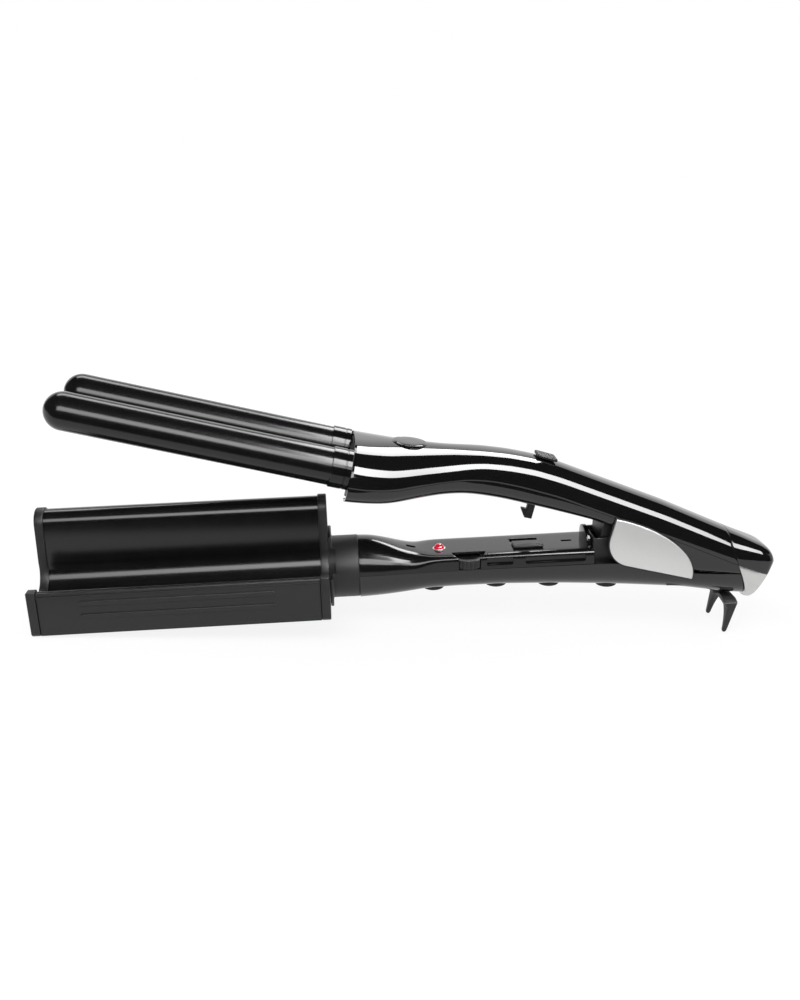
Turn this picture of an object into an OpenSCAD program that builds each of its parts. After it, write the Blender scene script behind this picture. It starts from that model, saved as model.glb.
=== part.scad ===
// Hair waver: two round barrels on the upper arm close into the two valleys of a ridged plate
// on the lower arm. Both arms are drawn lying closed in one arm frame: x from the front edge
// of the jaw towards the tail, y across, z up from the jaw's underside. The upper arm is then
// swung open about the hinge, and the whole iron is tipped back onto its stand.

/* [Stance] */
// Angle between the arms at rest
open_angle = 15; // [8:0.5:15]
// Height of the hinge axis above the jaw's underside
hinge_z = 12; // [11:0.25:13]
// Distance from the jaw's front edge to the hinge axis
hinge_x = 334; // [332:0.5:336]
// Diameter of the hinge pin
pin_d = 5; // [4:0.25:6]

/* [Barrels] */
// Outside diameter of a barrel
barrel_d = 19; // [17:0.25:19.5]
// Distance between the two barrel axes
barrel_spacing = 41; // [40:0.25:42]
// Straight length from the centre of the domed tip to the collar
barrel_len = 130; // [126:0.5:130]
// Wall of a barrel tube
barrel_wall = 1.2; // [1:0.1:1.6]
// Radial step of a barrel collar
collar_step = 0.7; // [0.5:0.1:0.8]
// Visible length of a barrel collar
collar_len = 10; // [9:0.5:10]

/* [Jaw] */
// Length of the jaw over its end caps
jaw_len = 148.5; // [146:0.5:148.5]
// Width of the jaw over its end caps
jaw_w = 74; // [73:0.5:78]
// Height of the jaw's side walls
jaw_wall_h = 23.5; // [22:0.25:24.5]
// Height of the centre ridge
ridge_h = 55; // [50:0.5:56]
// Radius of the ridge's rounded crown
crown_r = 7.8; // [7.4:0.1:8]
// Room for hair between a barrel and its valley
hair_gap = 2.5; // [2:0.1:2.8]
// Thickness of the wave plate
plate_t = 2; // [1.6:0.1:2.2]
// Thickness of an end cap
cap_t = 4.5; // [4:0.25:6]
// Height of an end cap over the wave plate
cap_proud = 0.8; // [0.6:0.1:1]
// Wall of the jaw housing
housing_wall = 2.2; // [1.8:0.1:2.4]
// Height of the side ribs over the housing wall
rib_h = 0.6; // [0.4:0.1:0.8]

/* [Handles] */
// Wall of the handle shells
shell_wall = 2.2; // [1.8:0.1:2.4]
// Height of the inner face of the lower handle
inner_face_z = 22; // [21.5:0.25:22.5]
// Radius of the neck collar
neck_r = 16.5; // [16:0.25:16.75]
// Height of the neck axis
neck_z = 14.2; // [14:0.1:14.6]
// Room between the lower neck and the upper handle's tunnel
tunnel_gap = 1.4; // [1:0.1:1.6]

/* [Controls] */
// Radius of the temperature dial
dial_r = 8.6; // [8:0.1:8.8]
// Thickness of the temperature dial
dial_t = 4.6; // [4:0.1:5]
// Number of finger notches on the dial
dial_notches = 24; // [12:2:30]
// Travel of the power switch
switch_travel = 4; // [3:0.25:4]
// Travel of the handle lock
lock_travel = 4; // [3:0.25:4]
// Radius of the indicator lens
lens_r = 2.8; // [2.4:0.1:3]

/* [Stand] */
// Distance from the jaw's front edge to the tips of the stand
stand_tip_x = 363; // [361:0.5:365]
// Depth of the stand's tips below the jaw's underside
stand_drop = 30.8; // [29:0.2:33]
// Distance between the two tips
stand_spread = 24; // [22:0.5:25]
// Radius of the stand's pin
stand_pin_r = 1.2; // [1:0.1:1.4]

/* [Cord outlet] */
// Radius of the cord outlet bore
outlet_r = 3.6; // [3:0.1:4]

/* [Hidden] */
$fn = 48;

// Small clearances
fit = 0.3;
run_fit = 0.05;
eps = 0.01;

// Barrels, closed
barrel_r = barrel_d / 2;
barrel_y = barrel_spacing / 2;
barrel_z = 27;
collar_r = barrel_r + collar_step;
shell_front = jaw_len + 3;
collar_x = shell_front - collar_len;
barrel_tip_x = collar_x - barrel_len;
spigot_r = barrel_r - barrel_wall;

// Jaw section
valley_r = barrel_r + hair_gap - cap_proud;
valley_z = barrel_z - 1;
foot_y = barrel_y - valley_r;
crown_z = ridge_h - crown_r;
inside_x = cap_t;
inside_len = jaw_len - 2 * cap_t;
shield_z = 10;
shield_t = 0.8;
flange_t = 1.6;
flange_r = 22;
collar_end = jaw_len + flange_t + 14;
neck_bend_x = collar_end + 11.9;
tunnel_end = 216;
wire_r = 1.8;
wire_y = 5;
wire_z = 7;

// Stance
tip_r = 1.2;
stand_len = sqrt(stand_tip_x * stand_tip_x + stand_drop * stand_drop);
stand_tilt = atan(stand_drop / stand_tip_x) + asin(tip_r / stand_len);
tail_tip_x = 387.4;
tail_tip_z = 22;
tail_reach = tail_tip_x - hinge_x;
tail_rise = tail_tip_z + 1 - hinge_z;
open_tail_x = hinge_x + tail_reach * cos(open_angle) + tail_rise * sin(open_angle);
open_tail_z = hinge_z + tail_rise * cos(open_angle) - tail_reach * sin(open_angle);
rear_x = open_tail_x * cos(stand_tilt) - open_tail_z * sin(stand_tilt);
front_x = -ridge_h * sin(stand_tilt);
centre_x = (front_x + rear_x) / 2;

// Lines of the lower arm: [x, value], blended smoothly
lower_w = [[140, neck_r], [165, neck_r - 0.3], [176, 16], [188, 15.3], [200, 15], [245, 15],
    [275, 15.3], [300, 15.5], [345, 15.5], [360, 15], [374, 14]];
lower_top = [[140, neck_z + neck_r], [165, neck_z + neck_r - 0.3], [172, 30], [180, 27.6], [188, 24.6],
    [197, inner_face_z + 0.3], [206, inner_face_z], [300, inner_face_z]];
lower_bottom = [[150, neck_z - neck_r], [165, neck_z - neck_r + 0.2], [176, -1.6], [188, -0.6],
    [200, 1], [215, 1.4], [240, 1.2], [272, -0.4], [300, -2.6], [340, -6.2], [364, -11], [380, -13]];
lower_seam = [[150, neck_z], [200, 14], [296, 14], [308, 12.8], [325, 9.2], [hinge_x + 9, 5.2],
    [373, 2.6]];
lower_end = 376;
cover_end = 288;
part_gap = 0.12;

// Lines of the upper arm, closed
upper_w = [[150, 31.5], [160, 31.4], [170, 29.6], [180, 26.2], [190, 22.4], [200, 19.4], [210, 17.6],
    [222, 16.5], [240, 16], [280, 15.9], [345, 15.9], [360, 15.7], [372, 15.2], [379, 14.3]];
upper_top = [[150, 39.2], [160, 40], [173, 41.5], [185, 42.8], [197, 44.3], [208, 46], [218, 47.6],
    [232, 49], [246, 49.3], [260, 48.1], [285, 44.6], [321, 39.6], [347, 34.9], [359, 32.8], [383, 28.6]];
upper_seam = [[150, 20.6], [160, 21], [175, 23], [188, 26.7], [200, 30.2], [212, 33.3], [225, 34.8],
    [239, 34.8], [260, 33.6], [283, 30.4], [300, 28], [315, 25.8], [346, 20.7], [367, 17], [387, 16]];
upper_bottom = [[150, 9], [160, 10.3], [170, 11.5], [178, 13.4], [190, 17.6], [200, 20.8], [210, 23.2],
    [218, 24.2], [232, 24.8], [250, 24.5], [270, 24], [284, 23.6], [292, 22], [300, 19.5], [320, 13.8],
    [335, 9.6],
    [343, 7.8], [368, 12], [380, 12.6]];
tail_bottom = [[340, -2], [382, -2], [384, 3], [386, 12.5], [tail_tip_x, tail_tip_z - 2]];
tail_top = [[340, 36.2], [359, 32.8], [380, 29.1], [383.5, 28], [386, 26], [tail_tip_x, tail_tip_z + 1]];
tail_w = [[340, 16], [360, 15.7], [372, 15.2], [379, 14.3], [383, 12.6], [386, 9], [tail_tip_x, 3]];
tail_seam = [[340, 21.6], [367, 17.4], [tail_tip_x, tail_tip_z - 1]];

// Side plate outline, closed
plate_x = 293;
plate_z = 5;
plate_len = 50;
plate_h = 24;
plate_corner_r = 13;
plate_y = 15.95;
side_plate_t = 1.35;
lug_r = 5.2;
lug_y = 13.2;

// Controls
dial_pos = [222, -8];
dial_z = 15;
lens_pos = [207.2, -1.7];
board_z = 9;
board_t = 1.6;
board_x = 203;
board_len = 76;
knob_pos = [256.3, -4.4];
knob_size = [16, 8.4, 1.4];
knob_stem = [6, 3];
slot_pos = [253.6, 4.2];
slot_size = [15.2, 5];
lock_x = 252.6;
lock_y = 4.2;
lock_stem = [4, 3];
lock_z = 13.9;
button_size = [11, 10];
barb_reach = 2.9;

// Guard and spring between the handles
guard_x = 290.1;
guard_len = 13.6;
guard_w = 18;
guard_wall = 1.3;
guard_bridge_z = 27;
guard_top = 26.5;
guard_floor = 6;
guard_seat_z = 2.4;
guard_front = cover_end + 0.3;
guard_rear = 308.4;
spring_x = 297.4;
spring_r = 2.4;
spring_wire = 0.4;
spring_turns = 8;
spring_len = 29.5;

// Underside
nub_x = [204, 238, 267, 299];
nub_r = 4.8;
nub_proud = 1.3;
nub_sink = 1.2;
screw_r = 1.2;
screw_head_r = 2.2;
screw_head_h = 1.1;
screw_len = 6.5;

// Colours
gloss_black = "#141414";
satin_black = "#2b2b2c";
face_grey = "#4a4a4b";
silver = "#d4d4d2";
steel = "#b8b8b6";
aluminium = "#c8c8c8";
ceramic = "#e8e4da";
rubber = "#1c1c1c";
lens_red = "#d81a2e";
board_green = "#2c6b45";
wire_grey = "#555555";

// ---- placing ----

module on_stand() translate([-centre_x, 0, 0]) rotate([0, -stand_tilt, 0]) children();

module lower_arm() on_stand() children();

module upper_arm() on_stand() swing(open_angle) children();

module swing(angle) translate([hinge_x, 0, hinge_z]) rotate([0, angle, 0])
    translate([-hinge_x, 0, -hinge_z]) children();

// A section in (y, z), drawn out along x
module along_x(x, len) translate([x, 0, 0]) rotate([90, 0, 90]) linear_extrude(len) children();

// An outline in (x, z), drawn out across the arm
module across_y(y, len) translate([0, y + len, 0]) rotate([90, 0, 0]) linear_extrude(len) children();

// A round bar along x, and one across the arm
module bar_x(x, y, z, r, len) translate([x, y, z]) rotate([0, 90, 0]) cylinder(r = r, h = len);
module bar_y(x, y, z, r, len) translate([x, y, z]) rotate([-90, 0, 0]) cylinder(r = r, h = len);

// A block given by its corner and size
module block(x, y, z, size) translate([x, y, z]) cube(size);

// ---- lofted shells ----

// Value of a line at x, with its corners blended over a few millimetres
function line(table, x) = (lookup(x - 4, table) + lookup(x - 2, table) + 2 * lookup(x, table)
    + lookup(x + 2, table) + lookup(x + 4, table)) / 6;
function stations(x0, x1, n) = [for (i = [0:n]) x0 + (x1 - x0) * i / n];
function signed_pow(v, p) = sign(v) * pow(abs(v), p);

// Half of a rounded section: a0 = 0 for the upper half, 180 for the lower
function half_ring(w, h, zc, e, k, a0) = [for (i = [0:k]) let (a = a0 + 180 * i / k)
    [w * signed_pow(cos(a), 2 / e), zc + h * signed_pow(sin(a), 2 / e)]];
function backwards(list) = [for (i = [len(list) - 1:-1:0]) list[i]];
function wall_ring(w, h, zc, e, k, a0, t) =
    concat(half_ring(w, h, zc, e, k, a0), backwards(half_ring(w - t, h - t, zc, e, k, a0)));
function full_ring(w, top, zc, bottom, e, k) = concat(half_ring(w, top - zc, zc, e, k, 0),
    [for (p = half_ring(w, zc - bottom, zc, e, k, 180)) if (abs(p[1] - zc) > eps) p]);

// Skin through rings of equal count, each at its own x
module loft(xs, rings) {
    n = len(rings[0]);
    m = len(xs);
    points = [for (i = [0:m - 1]) for (p = rings[i]) [xs[i], p[0], p[1]]];
    sides = [for (i = [0:m - 2]) for (j = [0:n - 1]) let (a = i * n + j, b = i * n + (j + 1) % n)
        each [[a, a + n, b + n], [a, b + n, b]]];
    // each end is closed by a ladder of triangles between opposite points of its ring
    ladder = [for (j = [0:floor(n / 2) - 1]) each concat(j + 1 < n - 1 - j ? [[j, j + 1, n - 1 - j]] : [],
        j + 1 < n - 2 - j ? [[j + 1, n - 2 - j, n - 1 - j]] : [])];
    last = (m - 1) * n;
    far_end = [for (f = ladder) [last + f[0], last + f[2], last + f[1]]];
    polyhedron(points = points, faces = concat(sides, ladder, far_end), convexity = 6);
}

// ---- jaw ----

// Everything under the working surface, sunk by g from the end caps' outline
module under_surface(g) difference() {
    union() {
        translate([0, crown_z]) circle(r = crown_r - g);
        polygon([[-(foot_y + 0.17 - g), jaw_wall_h - 1 - g], [foot_y + 0.17 - g, jaw_wall_h - 1 - g],
            [crown_r - g, crown_z], [-(crown_r - g), crown_z]]);
        translate([-(jaw_w / 2 - g), 0]) square([jaw_w - 2 * g, jaw_wall_h - g]);
    }
    for (s = [-1, 1]) translate([s * barrel_y, valley_z]) circle(r = valley_r + g);
}

// The housing's wall sits inside the caps by the height of its ribs
module housing_outline(g) translate([-(jaw_w / 2 - rib_h - g), g])
    square([jaw_w - 2 * (rib_h + g), jaw_wall_h]);

lip_inset = rib_h + housing_wall + 0.1;

module wave_plate() lower_arm() color(gloss_black) along_x(inside_x, inside_len) intersection() {
    difference() {
        under_surface(cap_proud);
        difference() {
            under_surface(cap_proud + plate_t);
            for (s = [-1, 1]) translate([s * (jaw_w / 2 - lip_inset - plate_t / 2), 0])
                square([plate_t, 2 * jaw_wall_h], center = true);
        }
    }
    translate([-(jaw_w / 2 - lip_inset), shield_z + shield_t + 0.2])
        square([jaw_w - 2 * lip_inset, ridge_h]);
}

// A long round-ended rib on the housing's side
module side_rib(z) hull() for (x = [26, 120]) translate([x, 0, z]) rotate([90, 0, 0])
    cylinder(r = 1.3, h = rib_h + 0.4);

module jaw_housing() lower_arm() color(satin_black) {
    along_x(inside_x, inside_len) difference() {
        housing_outline(0);
        housing_outline(housing_wall);
        translate([-jaw_w / 2, jaw_wall_h - cap_proud]) square([jaw_w, jaw_wall_h]);
    }
    for (side = [0, 1]) mirror([0, side, 0]) for (z = [9.6, 16.6])
        translate([0, -(jaw_w / 2 - rib_h) + 0.4, 0]) side_rib(z);
    for (x = [18, jaw_len / 2, jaw_len - 18]) for (y = [-24, 24])
        translate([x, y, housing_wall - eps]) cylinder(r = 3, h = shield_z - housing_wall + eps);
}

// Plug that an end cap pushes into the housing
module cap_plug() difference() {
    housing_outline(housing_wall + fit / 2);
    housing_outline(housing_wall + 2);
    translate([-jaw_w / 2, shield_z - 0.4]) square([jaw_w, jaw_w]);
}

module front_end_cap() lower_arm() color(satin_black) {
    along_x(0, cap_t) under_surface(0);
    along_x(cap_t - eps, 3) cap_plug();
}

module rear_end_cap() lower_arm() color(satin_black) difference() {
    union() {
        along_x(jaw_len - cap_t, cap_t) under_surface(0);
        along_x(jaw_len - cap_t - 3, 3 + eps) cap_plug();
    }
    bar_x(jaw_len - cap_t - 1, wire_y, wire_z, wire_r + 0.2, cap_t + 2);
}

module neck_collar() lower_arm() color(satin_black) difference() {
    intersection() {
        union() {
            bar_x(jaw_len, 0, neck_z, flange_r, flange_t);
            bar_x(jaw_len, 0, neck_z, neck_r, collar_end - jaw_len);
        }
        block(jaw_len - 1, -jaw_w / 2, neck_z - neck_r, [30, jaw_w, 60]);
    }
    bar_x(jaw_len - 1, 0, neck_z, neck_r - 4, 30);
    // room for the barrels' collars
    along_x(jaw_len - 1, shell_front + 0.5 - jaw_len + 1) for (s = [-1, 1]) {
        translate([s * barrel_y, barrel_z]) circle(r = collar_r + 1);
        translate([s * barrel_y - collar_r - 1, barrel_z]) square([2 * collar_r + 2, 40]);
    }
}

// Parts inside the jaw
heater_x = 26;
heater_len = 98;
heater_t = 5;
clamp_t = 1.2;
heater_top = crown_z - 2;

module ridge_heater() lower_arm() color(ceramic)
    block(heater_x, -heater_t / 2, shield_z + shield_t + 5, [heater_len, heater_t,
        heater_top - shield_z - shield_t - 5]);

module heater_clamp() lower_arm() color(steel) difference() {
    half_w = heater_t / 2 + clamp_t;
    union() {
        block(heater_x + 4, -half_w, shield_z + shield_t, [heater_len - 8, 2 * half_w,
            heater_top + clamp_t - shield_z - shield_t]);
        block(heater_x + 4, -9, shield_z + shield_t, [heater_len - 8, 18, 1]);
    }
    block(heater_x - 1, -heater_t / 2, shield_z + shield_t + 5, [heater_len + 2, heater_t,
        heater_top - shield_z - shield_t - 5]);
    for (i = [0:5]) translate([heater_x + 12 + i * 15, 0, 24]) cube([7, 20, 12], center = true);
}

module heat_shield() lower_arm() color(aluminium) difference() {
    block(inside_x + 4, -(jaw_w / 2 - lip_inset - 0.2), shield_z, [inside_len - 8,
        jaw_w - 2 * lip_inset - 0.4, shield_t]);
    for (i = [0:7]) for (y = [-14, 14]) translate([24 + i * 14, y, shield_z - 1])
        cylinder(r = 2.2, h = 3, $fn = 24);
}

module thermal_fuse() lower_arm() color(aluminium) {
    bar_x(66, 16, shield_z - 2.2, 2.2, 12);
    bar_x(58, 16, shield_z - 2.2, 0.5, 28);
}

module lower_wiring() lower_arm() color(wire_grey) bar_x(112, wire_y, wire_z, wire_r, board_x - 112.5);

// ---- lower handle ----

function lower_section(x, e, k, t) = wall_ring(line(lower_w, x),
    line(lower_seam, x) - line(lower_bottom, x), line(lower_seam, x), e, k, 180, t);
function cover_section(x, k, t) = wall_ring(line(lower_w, x),
    line(lower_top, x) - line(lower_seam, x) - part_gap, line(lower_seam, x) + part_gap,
    x < neck_bend_x ? 2.1 : min(2.1 + (x - neck_bend_x) * 0.05, 3), k, 0, t);
function floor_z(x) = line(lower_bottom, x);

// Outline of a side plate, as seen from the side and closed
function drop_shape() = concat(
    [for (a = [0:9:90]) [plate_x + plate_len * cos(a), plate_z + plate_h * sin(a)]],
    [for (a = [180:15:270]) [plate_x + plate_corner_r * (1 + cos(a)),
        plate_z + plate_corner_r * (1 + sin(a))]]);

// Lug on each side of the lower arm that carries a hinge bush
bush_r = pin_d / 2 + 1.4;
bush_len = 4;
bush_y = 8.5;

// Everything behind the seam of the tail cap, where it stands with the arms open
module open_tail(g) swing(open_angle) across_y(-30, 60) tail_area(g);

module lower_shell() lower_arm() color(satin_black) difference() {
    union() {
        xs = stations(collar_end, lower_end, 32);
        loft(xs, [for (x = xs) lower_section(x, 2.4, 12, shell_wall)]);
        // end wall
        along_x(lower_end - 9, 9) polygon(half_ring(line(lower_w, lower_end) - eps,
            line(lower_seam, lower_end) - floor_z(lower_end - 9) - 0.1, line(lower_seam, lower_end),
            2.4, 12, 180));
        for (side = [0, 1]) mirror([0, side, 0]) {
            // hinge lug, and the web that carries it down to the floor
            bar_y(hinge_x, bush_y, hinge_z, bush_r + 2.4, bush_len);
            block(hinge_x - 5, bush_y, -2.2, [10, bush_len, hinge_z + 2.2]);
            // clevis for the stand
            block(stand_hinge_x - 4.5, stand_w / 2 + fit, -8.6, [11, 2.6, 6]);
        }
        for (x = [board_x + 4, board_x + board_len - 4]) for (y = [-8, 8])
            translate([x, y, 3]) cylinder(r = 2, h = board_z - 3, $fn = 24);
        // seat for the spring guard
        block(guard_front + 2, -6, -0.6, [guard_rear - guard_front - 4, 12, guard_seat_z + 0.6]);
    }
    open_tail(-fit);
    for (side = [0, 1]) mirror([0, side, 0]) {
        bar_y(hinge_x, bush_y - 1, hinge_z, bush_r, bush_len + 2);
        // room for the upper arm's lug
        bar_y(hinge_x, lug_y - fit, hinge_z, lug_r + fit, 6);
    }
    // slot and pin hole for the stand
    block(stand_hinge_x - 7.2, -stand_w / 2 - fit, -16, [13.7, stand_w + 2 * fit, 12.5]);
    bar_y(stand_hinge_x, -20, stand_hinge_z, stand_pin_r, 40);
    for (x = nub_x) translate([x, 0, floor_z(x) - 4]) cylinder(r = nub_r, h = 4 + nub_sink);
    for (i = [1:3]) translate([nub_x[i], 0, -8]) cylinder(r = screw_r + 0.1, h = 14, $fn = 24);
    // way for the leads through the end wall
    swing(open_angle) bar_x(gland_x - 32, 0, gland_z, outlet_r + wire_room, 40);
}

module inner_cover() lower_arm() color(face_grey) difference() {
    union() {
        xs = stations(collar_end, cover_end, 20);
        loft(xs, [for (x = xs) cover_section(x, 12, shell_wall)]);
        fin();
        for (i = [1:2]) translate([nub_x[i], 0, floor_z(nub_x[i]) + shell_wall + 0.5])
            cylinder(r = 2.8, h = inner_face_z - floor_z(nub_x[i]) - 2 * shell_wall - 0.2, $fn = 32);
    }
    for (i = [1:2]) translate([nub_x[i], 0, floor_z(nub_x[i])]) cylinder(r = screw_r, h = 10, $fn = 24);
    // window for the dial
    translate([dial_pos[0], dial_pos[1], dial_z - 0.4]) cylinder(r = dial_r + 0.5, h = dial_t + 0.8);
    intersection() {
        translate([dial_pos[0], dial_pos[1], dial_z]) cylinder(r = dial_r + 0.5, h = 12);
        block(dial_pos[0] - 20, -30, dial_z, [40, 30 - 9, 14]);
    }
    // lens, power switch and lock
    translate([lens_pos[0], lens_pos[1], inner_face_z - 6]) cylinder(r = lens_r, h = 10);
    slot_len = knob_stem[0] + switch_travel + 2 * fit;
    block(knob_pos[0] - slot_len / 2, knob_pos[1] - knob_stem[1] / 2 - fit, inner_face_z - 6,
        [slot_len, knob_stem[1] + 2 * fit, 10]);
    block(slot_pos[0] - slot_size[0] / 2, slot_pos[1] - slot_size[1] / 2, inner_face_z - 6,
        [slot_size[0], slot_size[1], 10]);
    // steps along the near side
    block(231, -17, 16.6, [14, 3, 3.4]);
    block(251.5, -17, 16.6, [32, 2.6, 3]);
}

// Arched fin that closes the end of the inner face
fin_t = 2.4;
fin_top = 30.5;
fin_r = 9;
fin_lean = 5;
module fin() translate([cover_end - fin_t, 0, inner_face_z]) rotate([0, -fin_lean, 0])
    along_x(0, fin_t) intersection() {
        union() {
            translate([0, fin_top - fin_r - inner_face_z]) circle(r = fin_r);
            translate([-fin_r, -4]) square([2 * fin_r, fin_top - inner_face_z - fin_r + 4]);
        }
        translate([-fin_r, -2.4]) square([2 * fin_r, 2 * fin_r]);
    }

module indicator_lens() lower_arm() color(lens_red) translate([lens_pos[0], lens_pos[1], 0]) {
    flange_z = inner_face_z - shell_wall - 1.6;
    translate([0, 0, board_z + board_t]) cylinder(r = 1.6, h = flange_z - board_z - board_t + eps);
    translate([0, 0, flange_z]) cylinder(r = lens_r + 1, h = 1.1);
    intersection() {
        translate([0, 0, inner_face_z - 2.2]) sphere(r = lens_r + 0.2);
        translate([0, 0, flange_z + 1]) cylinder(r = lens_r - 0.05, h = 8);
    }
}

module control_board() lower_arm() {
    color(board_green) difference() {
        block(board_x, -11, board_z, [board_len, 22, board_t]);
        for (x = [board_x + 4, board_x + board_len - 4]) for (y = [-8, 8])
            translate([x, y, board_z - 1]) cylinder(r = 1.1, h = 5, $fn = 24);
        for (i = [1:2]) translate([nub_x[i], 0, board_z - 1]) cylinder(r = 3.2, h = 5, $fn = 32);
    }
    top = board_z + board_t - eps;
    // switch under the knob, adjuster under the dial, and the power parts
    color(satin_black) block(knob_pos[0] - 6.5, knob_pos[1] - 3, top, [13, 6, 5.4]);
    color(steel) translate([dial_pos[0], dial_pos[1] + 1, top]) cylinder(r = 2, h = dial_z - top - 0.1);
    color("#2f4f8f") translate([230, 5, top]) cylinder(r = 3.4, h = 7.5);
    color("#3a3a3a") block(262.5, 3.6, top, [10, 6, 6]);
}

module grip_nubs() lower_arm() color(rubber) for (i = [0:3]) let (x = nub_x[i])
    translate([x, 0, floor_z(x)]) difference() {
        rotate_extrude() polygon([[0, -nub_proud], [nub_r - 0.8, -nub_proud], [nub_r, -nub_proud + 0.8],
            [nub_r, nub_sink], [0, nub_sink]]);
        if (i > 0) translate([0, 0, nub_sink - screw_head_h]) cylinder(r = screw_head_r + 0.1, h = 5);
    }

module shell_screws() lower_arm() color(steel) for (i = [1:3])
    translate([nub_x[i], 0, floor_z(nub_x[i]) + nub_sink]) {
        translate([0, 0, -screw_head_h]) cylinder(r = screw_head_r, h = screw_head_h, $fn = 32);
        translate([0, 0, -eps]) cylinder(r = screw_r, h = screw_len + eps, $fn = 24);
    }

module hinge_bushes() lower_arm() color(ceramic) for (side = [0, 1]) mirror([0, side, 0])
    difference() {
        bar_y(hinge_x, bush_y, hinge_z, bush_r, bush_len);
        bar_y(hinge_x, bush_y - 1, hinge_z, pin_d / 2 + run_fit, bush_len + 2);
    }

// Wire of round section wound in a helix: one ring of points every 30 degrees
function coil_point(turns, height, i, n, j, sides) = let (a = 360 * turns * i / n, b = 360 * j / sides,
    r = spring_r + spring_wire * cos(b))
    [r * cos(a), r * sin(a), spring_wire + (height - 2 * spring_wire) * i / n + spring_wire * sin(b)];
module coil(turns, height) {
    sides = 6;
    n = turns * 12;
    points = [for (i = [0:n]) for (j = [0:sides - 1]) coil_point(turns, height, i, n, j, sides)];
    skin = [for (i = [0:n - 1]) for (j = [0:sides - 1])
        let (a = i * sides + j, b = i * sides + (j + 1) % sides) each [[a, b, b + sides],
        [a, b + sides, a + sides]]];
    ends = [[for (j = [sides - 1:-1:0]) j], [for (j = [0:sides - 1]) n * sides + j]];
    polyhedron(points = points, faces = concat(skin, ends), convexity = 10);
}

// The spring stands upright on the floor of its guard
module opening_spring() lower_arm() color(steel) translate([spring_x, 0, guard_floor + 0.1])
    rotate([0, stand_tilt, 0]) coil(spring_turns, spring_len);

module spring_guard_lower() lower_arm() color(satin_black) difference() {
    half_w = guard_w / 2 + fit + guard_wall;
    union() {
        block(guard_front, -half_w, guard_floor + 2, [guard_rear - guard_front, 2 * half_w,
            guard_top - guard_floor - 2]);
        block(guard_front + 2, -6, guard_seat_z, [guard_rear - guard_front - 4, 12,
            guard_floor - guard_seat_z + 3]);
    }
    block(guard_front + guard_wall, -guard_w / 2 - fit, guard_floor + 4, [guard_rear - guard_front
        - 2 * guard_wall, guard_w + 2 * fit, 30]);
    translate([spring_x, 0, guard_floor]) cylinder(r = spring_r + spring_wire + 0.6, h = 10);
    translate([nub_x[3], 0, 0]) cylinder(r = screw_r, h = guard_floor - 0.6, $fn = 24);
}

// ---- stand ----

stand_hinge_x = 359.5;
stand_hinge_z = -6.6;
stand_w = 9;
stand_hub_r = 2.3;
stand_top_z = -11.7;
stand_arch_z = -14.2;
stand_half = stand_spread / 2 + tip_r * 0.9;

// Fork from the front: shoulders and two prongs round a high arch
module stand_front() difference() {
    translate([-stand_half, -stand_drop]) square([2 * stand_half, stand_drop + stand_top_z]);
    polygon([for (a = [0:12:180]) [(stand_spread / 2 - tip_r * 0.9) * cos(a),
        -stand_drop + (stand_drop + stand_arch_z) * sin(a) - (a == 0 || a == 180 ? 5 : 0)]]);
    for (s = [-1, 1]) polygon([[s * stand_half * 0.6, stand_top_z + 1], [s * (stand_half + 1),
        stand_top_z + 1], [s * (stand_half + 1), stand_top_z - 3]]);
}

// Fork from the side: each prong is a wedge down to its tip
module stand_side() polygon([[stand_hinge_x + 2, stand_top_z], [stand_tip_x + 7.2, stand_top_z - 0.6],
    [stand_tip_x + 7.6, stand_top_z - 1.4], [stand_tip_x + tip_r * 0.9, -stand_drop],
    [stand_tip_x - tip_r * 0.9, -stand_drop], [stand_tip_x + 0.6, stand_top_z - 6],
    [stand_hinge_x + 2, stand_top_z - 2]]);

module stand_fork() lower_arm() color(satin_black) difference() {
    union() {
        intersection() {
            along_x(stand_hinge_x - 6, 24) stand_front();
            across_y(-20, 40) stand_side();
        }
        bar_y(stand_hinge_x, -stand_w / 2, stand_hinge_z, stand_hub_r, stand_w);
        across_y(-stand_w / 2, stand_w) polygon([[stand_hinge_x - 2, stand_hinge_z - 1],
            [stand_hinge_x + 2.2, stand_hinge_z - 0.6], [stand_hinge_x + 4.4, stand_top_z - 0.4],
            [stand_hinge_x - 1.2, stand_top_z - 0.4]]);
        for (s = [-1, 1]) translate([stand_tip_x, s * stand_spread / 2, -stand_drop])
            sphere(r = tip_r, $fn = 24);
    }
    bar_y(stand_hinge_x, -20, stand_hinge_z, stand_pin_r + run_fit, 40);
}

module stand_pin() lower_arm() color(steel) bar_y(stand_hinge_x, -stand_w / 2 - 2.5, stand_hinge_z,
    stand_pin_r, stand_w + 5);

// ---- controls that move ----

module power_switch_knob() lower_arm() color(gloss_black)
    translate([knob_pos[0] - switch_travel / 2, knob_pos[1], 0]) {
        top = inner_face_z + 0.2;
        difference() {
            translate([-knob_size[0] / 2, -knob_size[1] / 2, top]) cube(knob_size);
            for (i = [-2:2]) translate([i * 2.4, 0, top + knob_size[2]]) rotate([90, 0, 0])
                cylinder(r = 0.5, h = knob_size[1] - 2.4, center = true, $fn = 24);
        }
        translate([-knob_stem[0] / 2, -knob_stem[1] / 2, 16.3]) cube([knob_stem[0], knob_stem[1], top
            - 16.3 + eps]);
    }

module temperature_dial() lower_arm() color(satin_black)
    translate([dial_pos[0], dial_pos[1], dial_z]) difference() {
        cylinder(r = dial_r, h = dial_t);
        for (i = [0:dial_notches - 1]) rotate(360 * i / dial_notches) translate([dial_r + 0.35, 0, -1])
            cylinder(r = 0.8, h = dial_t + 2, $fn = 16);
        translate([0, 0, dial_t - 0.8]) cylinder(r = dial_r - 2.6, h = 2);
    }

// ---- barrels ----

module at_barrel(side) translate([0, side * barrel_y, barrel_z]) children();
module turned_x(x) translate([x, 0, 0]) rotate([0, 90, 0]) rotate_extrude($fn = 64) children();

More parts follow.
